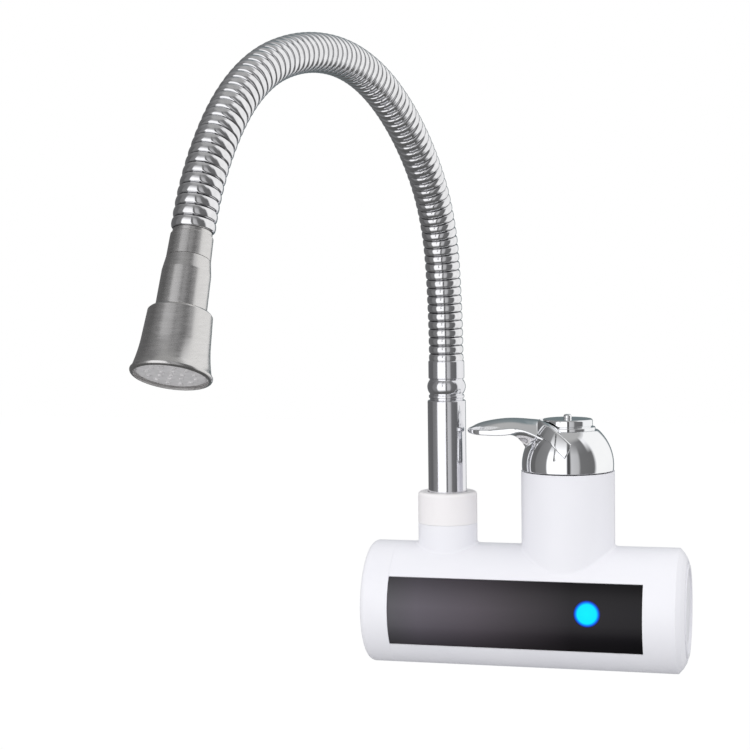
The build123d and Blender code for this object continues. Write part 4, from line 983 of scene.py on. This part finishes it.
DOME = Arc((DOME_BASE_R, DOME_BASE_Z), (DOME_MID_R, DOME_MID_Z), (DOME_TOP_R, DOME_TOP_Z))
WRAP = Arc((WRAP_FOOT_R, WRAP_FOOT_Z), (WRAP_MID_R, WRAP_MID_Z), (WRAP_TOP_R, WRAP_TOP_Z))


def dome_part():
    """Dome with its hollow underside and the hub for the spindle."""
    outer = [(r, z, 0) for r, z in DOME.points(DOME_STEPS)]
    outer[0] = (*outer[0][:2], 0.35)
    outer[-1] = (*outer[-1][:2], 0.5)
    inner = Arc(
        (DOME_BASE_R - DOME_WALL, DOME_BASE_Z),
        (DOME_MID_R - DOME_WALL, DOME_MID_Z),
        (DOME_TOP_R - DOME_WALL, DOME_TOP_Z - DOME_WALL),
    )
    outline = rounded([
        *outer,
        (SCREW_R, DOME_TOP_Z, 0),
        (SCREW_R, SPINDLE_TOP_Z, 0),
        (SPINDLE_R, SPINDLE_TOP_Z, 0),
        (SPINDLE_R, HUB_FOOT_Z, 0),
        (HUB_R, HUB_FOOT_Z, 0.4),
        (HUB_R, DOME_TOP_Z - DOME_WALL, 0),
        *[(r, z, 0) for r, z in reversed(inner.points(DOME_STEPS // 2))],
    ])
    return turned_mesh("dome_part", outline, HANDLE_PLACE, 160)


def between(p, q, r, s, t):
    """Value between q and r on the smooth curve through all four."""
    square, cube = 2 * p - 5 * q + 4 * r - s, 3 * q - p - 3 * r + s
    return 0.5 * (2 * q + (r - p) * t + square * t**2 + cube * t**3)


def through(points, steps):
    """Smooth curve through points, as evenly stepped stretches between them."""
    curve = []
    for k in range(len(points) - 1):
        around = [points[max(k - 1, 0)], *points[k : k + 2], points[min(k + 2, len(points) - 1)]]
        for step in range(steps):
            curve.append(tuple(between(*values, step / steps) for values in zip(*around)))
    curve.append(tuple(points[-1]))
    return curve


STRAP_LOWER = ((3.4, -5.3), (2.5, -8.8), (0.3, -12.4))
STRAP_LOWER_BACK = ((0.3, -12.4), (-5.0, -7.5), (-9.7, -3.7), (-17.0, -0.9))
STRAP_UPPER = ((3.4, -5.3), (-1.9, -0.7), (-7.3, 3.1), (-12.0, 4.9), (-17.0, 5.6))
STRAP_EDGE = 0.8
STRAP_START = 0.004
STRAP_LEAST = 0.02
STRAP_TIP = 12.0
STRAP_TIP_COLUMNS = 16
STRAP_COLUMNS = 96
STRAP_ROWS = 12
STRAP_EDGE_ROWS = 6
STRAP_STEPS = 14
STRAP_TIP_STEPS = 10
STRAP_SINK = 0.1
STRAP_DEPTH = 1.2
DOME_EDGE = 0.8
DOME_EDGE_R = DOME_TOP_R - 0.2


def around_wrap(curve):
    """Turns side points (x, height over the dome's top) into (angle, height) on the wrap."""
    found = []
    for x, rise in curve:
        z = DOME_TOP_Z + rise
        radius = WRAP.radius_at(min(z, WRAP_TOP_Z))
        if abs(x) <= radius:
            found.append((math.acos(x / radius), z))
    return found


def height_at(curve, angle):
    for (a, low), (b, high) in zip(curve, curve[1:]):
        if a <= angle <= b:
            return low + (high - low) * (angle - a) / max(b - a, 1e-9)
    return curve[-1][1] if angle > curve[-1][0] else curve[0][1]


def strap_section(low, high):
    """Closed section of the strap between two heights, rounded at both edges."""
    width = max(high - low, STRAP_LEAST)
    reach = min(STRAP_EDGE, width / 2)
    turns = [math.pi / 2 * k / STRAP_EDGE_ROWS for k in range(STRAP_EDGE_ROWS)]
    edge = [reach * (1 - math.cos(turn)) for turn in turns]
    rows = edge + [reach + (width - 2 * reach) * k / STRAP_ROWS for k in range(STRAP_ROWS + 1)]
    rows += [width - rise for rise in reversed(edge)]
    outer, inner = [], []
    for rise in rows:
        z = low + rise
        near = min(rise, width - rise)
        swell = math.sqrt(max(1 - (1 - min(near / STRAP_EDGE, 1.0)) ** 2, 0.0))
        floor = deep = CAP_CLEAR_R
        if z < DOME_TOP_Z:
            floor = DOME.radius_at(z) - STRAP_SINK
            if z > DOME_TOP_Z - DOME_EDGE:
                floor = min(floor, DOME_EDGE_R)
            deep = max(min(floor, DOME.radius_at(z) - STRAP_DEPTH), CAP_CLEAR_R)
        outer.append((floor + (WRAP.radius_at(min(z, WRAP_TOP_Z)) - floor) * swell, z))
        inner.append((deep, z))
    return outer + inner[::-1][1:-1]


def strap_part():
    """Strap round the dome below the lever, down to a point on each side."""
    tip_side = through(STRAP_LOWER, STRAP_TIP_STEPS)[:-1]
    lower = around_wrap(tip_side + through(STRAP_LOWER_BACK, STRAP_STEPS))
    upper = around_wrap(through(STRAP_UPPER, STRAP_STEPS))
    first = lower[0][0] + STRAP_START
    tip = max((a for a, z in lower if z < DOME_TOP_Z - STRAP_TIP), default=math.pi / 2)
    angles = [first + (tip - first) * k / STRAP_TIP_COLUMNS for k in range(STRAP_TIP_COLUMNS + 1)]
    angles += [tip + (math.pi - tip) * k / STRAP_COLUMNS for k in range(1, STRAP_COLUMNS + 1)]
    angles += [math.tau - angle for angle in reversed(angles[:-1])]
    rings = []
    for angle in angles:
        look = min(angle, math.tau - angle)
        section = strap_section(height_at(lower, look), height_at(upper, look))
        rings.append([HANDLE_PLACE @ spot(radius, -angle, z) for radius, z in section])
    return ring_mesh("strap_part", rings, False, 50.0)


# Reach, half width, edge's foot, edge's top, crown, keel's half width and keel's foot
LEVER_SLICES = (
    (50.25, 0.9, -0.9, -0.1, 0.1, 0.5, -1.0),
    (50.0, 1.9, -1.3, 0.3, 0.55, 0.8, -1.45),
    (48.2, 5.2, -1.7, 0.6, 1.4, 2.2, -1.9),
    (44.6, 8.4, -2.1, 0.6, 3.2, 3.6, -2.4),
    (39.0, 10.1, -2.3, 0.6, 4.7, 4.2, -2.7),
    (33.0, 10.4, -2.3, 1.0, 5.6, 4.3, -2.7),
    (28.0, 10.2, -2.0, 1.6, 5.9, 4.3, -2.3),
    (24.5, 10.6, -0.7, 1.5, 5.8, 4.3, -3.7),
    (21.0, 11.7, -0.5, 0.9, 5.6, 5.0, -7.9),
    (18.0, 12.7, -1.4, 0.0, 5.3, 6.0, -12.5),
    (14.2, 14.1, -2.9, -1.5, 4.7, 7.4, -14.3),
    (14.0, 14.1, -3.0, -1.7, -0.2, 7.4, -14.3),
    (11.0, 14.6, -4.2, -3.0, -0.4, 8.0, -14.3),
)
CROWN_STEPS = 10
EDGE_STEPS = 4
FLANK_STEPS = 10
FLANK_HOLLOW = 0.35
LEVER_STEPS = 7
NECK_START = 14.6
NECK_END = 42.0
EVENING_ROUNDS = 14


def lever_section(half, foot, top, crown, keel, keel_foot):
    """Closed section of the lever, crowned on top with hollow flanks, as (across, height)."""
    edge = min((top - foot) / 2, 0.9) * 0.75
    side = []
    for k in range(CROWN_STEPS):
        share = k / CROWN_STEPS
        side.append(((half - edge) * share, top + (crown - top) * (1 - share**2)))
    turns = [math.pi / 2 * k / EDGE_STEPS for k in range(EDGE_STEPS + 1)]
    for a in reversed(turns):
        side.append((half - edge * (1 - math.cos(a)), top - edge * (1 - math.sin(a))))
    for a in turns:
        side.append((half - edge * (1 - math.cos(a)), foot + edge * (1 - math.sin(a))))
    inner = half - edge
    for k in range(1, FLANK_STEPS + 1):
        share = k / FLANK_STEPS
        hollow = 4 * share * (1 - share)
        y = inner + (keel - inner) * share
        z = foot + (keel_foot - foot) * share
        y += (keel + FLANK_HOLLOW * (half - keel) - (inner + keel) / 2) * hollow
        z += (foot - FLANK_HOLLOW * (foot - keel_foot) - (foot + keel_foot) / 2) * hollow
        side.append((y, z))
    return side + [(-y, z) for y, z in side[::-1] if y > 1e-6]


def evened(stations):
    """Stations of the lever's neck with the small waves between them smoothed out."""
    for _ in range(EVENING_ROUNDS):
        moved = list(stations)
        for k in range(1, len(stations) - 1):
            if NECK_START < stations[k][0] < NECK_END:
                around = zip(stations[k - 1], stations[k], stations[k + 1])
                moved[k] = tuple((a + 2 * b + c) / 4 for a, b, c in around)
        stations = moved
    return stations


def lever_part():
    """Leaf-shaped paddle on a keel that deepens into a neck on the dome's shoulder."""
    rings = []
    for reach, *form in evened(through(LEVER_SLICES, LEVER_STEPS)):
        section = lever_section(*form)
        rings.append([HANDLE_PLACE @ Vector((-reach, y, DOME_TOP_Z + rise)) for y, rise in section])
    return ring_mesh("lever_part", rings, False, 35.0)


def add_handle():
    mesh = joined("handle_looks", [dome_part(), strap_part(), lever_part()])
    add_piece("handle", mesh, "handle", "chrome")


CAP_RING_R = 13.8
CAP_RING_HEIGHT = 1.7
CAP_GROOVE_HEIGHT = 0.5
CAP_DISC_R = 12.5
CAP_DISC_HEIGHT = 3.4
CAP_EDGE = 0.7
NUB_R = 2.0
NUB_HEIGHT = 2.2
HANDLE_SCREW_R = 1.4
HANDLE_SCREW_LENGTH = 16.0


def add_cap():
    ring_top = DOME_TOP_Z + CAP_RING_HEIGHT
    groove_top = ring_top + CAP_GROOVE_HEIGHT
    top = groove_top + CAP_DISC_HEIGHT
    cap = rounded([
        (SCREW_R, DOME_TOP_Z, 0),
        (CAP_RING_R, DOME_TOP_Z, 0.2),
        (CAP_RING_R, ring_top, 0.5),
        (CAP_DISC_R - CAP_EDGE, ring_top, 0),
        (CAP_DISC_R - CAP_EDGE, groove_top, 0),
        (CAP_DISC_R, groove_top, 0.3),
        (CAP_DISC_R, top, 1.0),
        (SCREW_R, top, 0),
    ])
    add_turned("handle_cap", cap, HANDLE_PLACE, "handle", "chrome")
    screw = rounded([
        (0, top - HANDLE_SCREW_LENGTH, 0),
        (HANDLE_SCREW_R, top - HANDLE_SCREW_LENGTH, 0.3),
        (HANDLE_SCREW_R, top, 0),
        (NUB_R, top, 0.1),
        (NUB_R, top + NUB_HEIGHT, 1.1),
        (0, top + NUB_HEIGHT, 0),
    ])
    add_turned("handle_screw", screw, HANDLE_PLACE, "handle", "chrome", sides=48)


add_eased("body_shell", "body_white", 0.3)
add_eased("left_end_cap", "body_white", 0.25)
add_eased("collar_nut", "body_white", 0.35, MATERIALS["collar"])
add_eased("display_window", "window_black", 0.15)
add_eased("inlet_locknut", "inlet_chrome", 0.5)
add_right_cap()
add_wall_inlet()
add_gland()
add_riser()
add_lower_ferrule()
add_gooseneck()
add_spray_head()
add_spray_plate()
add_handle()
add_cap()


# Camera
CAMERA_PLACE = Vector((118.049, -895.024, 171.296)) * MM
CAMERA_YAW = -0.252
CAMERA_PITCH = 0.063
CAMERA_ROLL = -0.013
CAMERA_LENS = 81.6


def add_camera():
    """Camera at the photograph's viewing angle."""
    yaw, pitch, roll = CAMERA_YAW, CAMERA_PITCH, CAMERA_ROLL
    forward = Vector(
        (math.sin(yaw) * math.cos(pitch), math.cos(yaw) * math.cos(pitch), -math.sin(pitch))
    )
    level = Vector((math.cos(yaw), -math.sin(yaw), 0.0))
    upward = level.cross(forward)
    right = math.cos(roll) * level + math.sin(roll) * upward
    up = math.cos(roll) * upward - math.sin(roll) * level
    data = bpy.data.cameras.new("camera")
    data.lens = CAMERA_LENS
    data.sensor_fit = "HORIZONTAL"
    data.clip_end = 20.0
    camera = bpy.data.objects.new("camera", data)
    turn = Matrix((right, up, -forward)).transposed().to_4x4()
    camera.matrix_world = Matrix.Translation(CAMERA_PLACE) @ turn
    bpy.context.scene.collection.objects.link(camera)
    bpy.context.scene.camera = camera
    bpy.context.scene.view_settings.view_transform = "Standard"


add_camera()


# Studio: what the metals mirror, as (angle from the front towards the right, brightness)
STUDIO_TURN = 10.0
LEVEL_PANELS = (
    (-180, 0.20), (-150, 0.16), (-94, 0.13), (-90, 0.20), (-59, 0.24), (-55, 1.25),
    (-6, 1.25), (-3, 0.08), (3, 0.08), (7, 0.60), (25, 0.50), (31, 0.17),
    (68, 0.15), (74, 0.85), (150, 0.80), (158, 0.20), (180, 0.20),
)
RAISED_PANELS = (
    (-180, 0.24), (-140, 0.30), (-95, 0.22), (-60, 0.28), (-40, 0.42), (-10, 0.38),
    (0, 0.22), (10, 0.34), (28, 0.24), (54, 0.18), (60, 0.95), (150, 0.95), (180, 0.24),
)
RAISED_FROM = 28.0
RAISED_TO = 52.0
OVERHEAD_FROM = 58.0
OVERHEAD_TO = 68.0
OVERHEAD = (0.45, 0.45, 0.45, 1.0)
BELOW_FROM = -48.0
BELOW_TO = -27.0
BELOW = (0.12, 0.12, 0.12, 1.0)
DIFFUSE_LEVEL = 0.98
CARD_R = 12.0
CARD_STEP = 5
OPEN_TURN = (75, 150)
OPEN_TILT = (-30, 60)
BEHIND = 155
TEAL = (0.86, 1.04, 1.10)
COOL = (1.0, 1.0, 1.02)


def panel_stops(panels):
    """Ramp stops from (angle, brightness) pairs, faintly cool, and teal right behind the object."""
    stops = []
    for angle, level in panels:
        tint = TEAL if abs(angle) > BEHIND else COOL
        stops.append(((angle + 180) / 360, grey(level, tint)))
    return stops


def blended(tree, lower, upper, height, start, end):
    """Passes from one colour to another between two elevations."""
    low, high = math.sin(math.radians(start)), math.sin(math.radians(end))
    return mixed(tree, spread(tree, height, 0.0, 1.0, low, high), lower, upper)


def card_colours(tree):
    """Colour of the studio's cards by the direction that they are seen in."""
    towards = parted(tree, made(tree, "VectorMath", "Vector", {0: own_place(tree)}, "NORMALIZE"))
    angle = maths(tree, "ARCTAN2", towards["X"], maths(tree, "MULTIPLY", towards["Y"], -1.0))
    angle = maths(tree, "SUBTRACT", angle, math.radians(STUDIO_TURN))
    angle = maths(tree, "WRAP", angle, math.pi, -math.pi)
    around = spread(tree, angle, 0.0, 1.0, -math.pi, math.pi)
    height = towards["Z"]
    level = ramp(tree, around, panel_stops(LEVEL_PANELS))
    raised = ramp(tree, around, panel_stops(RAISED_PANELS))
    panels = blended(tree, level, raised, height, RAISED_FROM, RAISED_TO)
    panels = blended(tree, BELOW, panels, height, BELOW_FROM, BELOW_TO)
    return blended(tree, panels, OVERHEAD, height, OVERHEAD_FROM, OVERHEAD_TO)


def seen(tree):
    """One where the camera, a mirror or glass looks, and nought for even light."""
    rays = tree.nodes.new("ShaderNodeLightPath").outputs
    mirrored = maths(tree, "MAXIMUM", rays["Is Camera Ray"], rays["Is Glossy Ray"])
    return maths(tree, "MAXIMUM", mirrored, rays["Is Transmission Ray"])


def studio_world():
    """White background to the camera, metal and glass, even soft light on matt surfaces."""
    world = bpy.data.worlds.new("studio")
    bpy.context.scene.world = world
    tree, output = emptied(world, "OutputWorld")
    even = (*grey(DIFFUSE_LEVEL, (1.0, 1.0, 1.01)), 1.0)
    colour = mixed(tree, seen(tree), even, (1.0, 1.0, 1.0, 1.0))
    feed(tree, output, {"Surface": made(tree, "Background", "Background", {"Color": colour})})


studio_world()

FLOOR_DROP = 0.16
FLOOR_HALF = 3.0
FLOOR_GLOW = 0.88
FLOOR_WHITE = 1.06
FLOOR_COLOUR = (0.60, 0.60, 0.61, 1.0)


def staged(name, material, corners, faces):
    mesh = bpy.data.meshes.new(name)
    mesh.from_pydata(corners, [], faces)
    return link(name, mesh, material)


def add_floor():
    """Pale floor, white to the camera but for the object's shadow, and clear from below."""
    material = bpy.data.materials.new("pale_floor")
    tree, output = emptied(material)
    matt = made(tree, "BsdfDiffuse", "BSDF", {"Color": FLOOR_COLOUR})
    glow = made(tree, "Emission", "Emission", {"Strength": FLOOR_WHITE})
    share = maths(tree, "MULTIPLY", seen(tree), FLOOR_GLOW)
    above = made(tree, "MixShader", "Shader", {"Fac": share, 1: matt, 2: glow})
    below = made(tree, "BsdfTransparent", "BSDF", {})
    side = made(tree, "NewGeometry", "Backfacing", {})
    both = made(tree, "MixShader", "Shader", {"Fac": side, 1: above, 2: below})
    feed(tree, output, {"Surface": both})
    low, half = CAD_BOX[0][2] - FLOOR_DROP, FLOOR_HALF
    corners = [(-half, -half, low), (half, -half, low), (half, half, low), (-half, half, low)]
    floor = staged("floor", material, corners, [(0, 1, 2, 3)])
    floor.visible_glossy = False


def add_cards():
    """Far round screen of cards, seen only in reflections, with an opening to the background."""
    material = bpy.data.materials.new("studio_cards")
    tree, output = emptied(material)
    glow = made(tree, "Emission", "Emission", {"Color": card_colours(tree)})
    feed(tree, output, {"Surface": glow})
    corners, faces = [], []
    columns = 360 // CARD_STEP
    for row, tilt in enumerate(range(-90, 91, CARD_STEP)):
        for column in range(columns):
            turn = column * CARD_STEP
            angle = math.radians(turn + STUDIO_TURN)
            out = CARD_R * math.cos(math.radians(tilt))
            height = CARD_R * math.sin(math.radians(tilt))
            corners.append((out * math.sin(angle), -out * math.cos(angle), height))
            gap = OPEN_TURN[0] <= turn < OPEN_TURN[1] and OPEN_TILT[0] <= tilt < OPEN_TILT[1]
            if tilt < 90 and not gap:
                a = row * columns + column
                b = row * columns + (column + 1) % columns
                faces.append((a, b, b + columns, a + columns))
    cards = staged("studio_cards", material, corners, faces)
    cards.location = [(a + b) / 2 for a, b in zip(*CAD_BOX)]
    cards.visible_camera = False
    cards.visible_diffuse = False
    cards.visible_transmission = False
    cards.visible_shadow = False


LAMP_PLACE = Vector((-0.2, -1.75, 0.5))
LAMP_AIM = Vector((0.0, -0.06, 0.06))
LAMP_SIZE = 1.6
LAMP_POWER = 8.6


def add_lamp():
    """Broad square lamp in front of the object, left out of reflections."""
    data = bpy.data.lights.new("key_light", "AREA")
    data.shape = "SQUARE"
    data.size = LAMP_SIZE
    data.energy = LAMP_POWER
    lamp = bpy.data.objects.new("key_light", data)
    lamp.location = LAMP_PLACE
    lamp.rotation_euler = (LAMP_AIM - LAMP_PLACE).to_track_quat("-Z", "Y").to_euler()
    bpy.context.scene.collection.objects.link(lamp)
    lamp.visible_glossy = False


add_floor()
add_cards()
add_lamp()
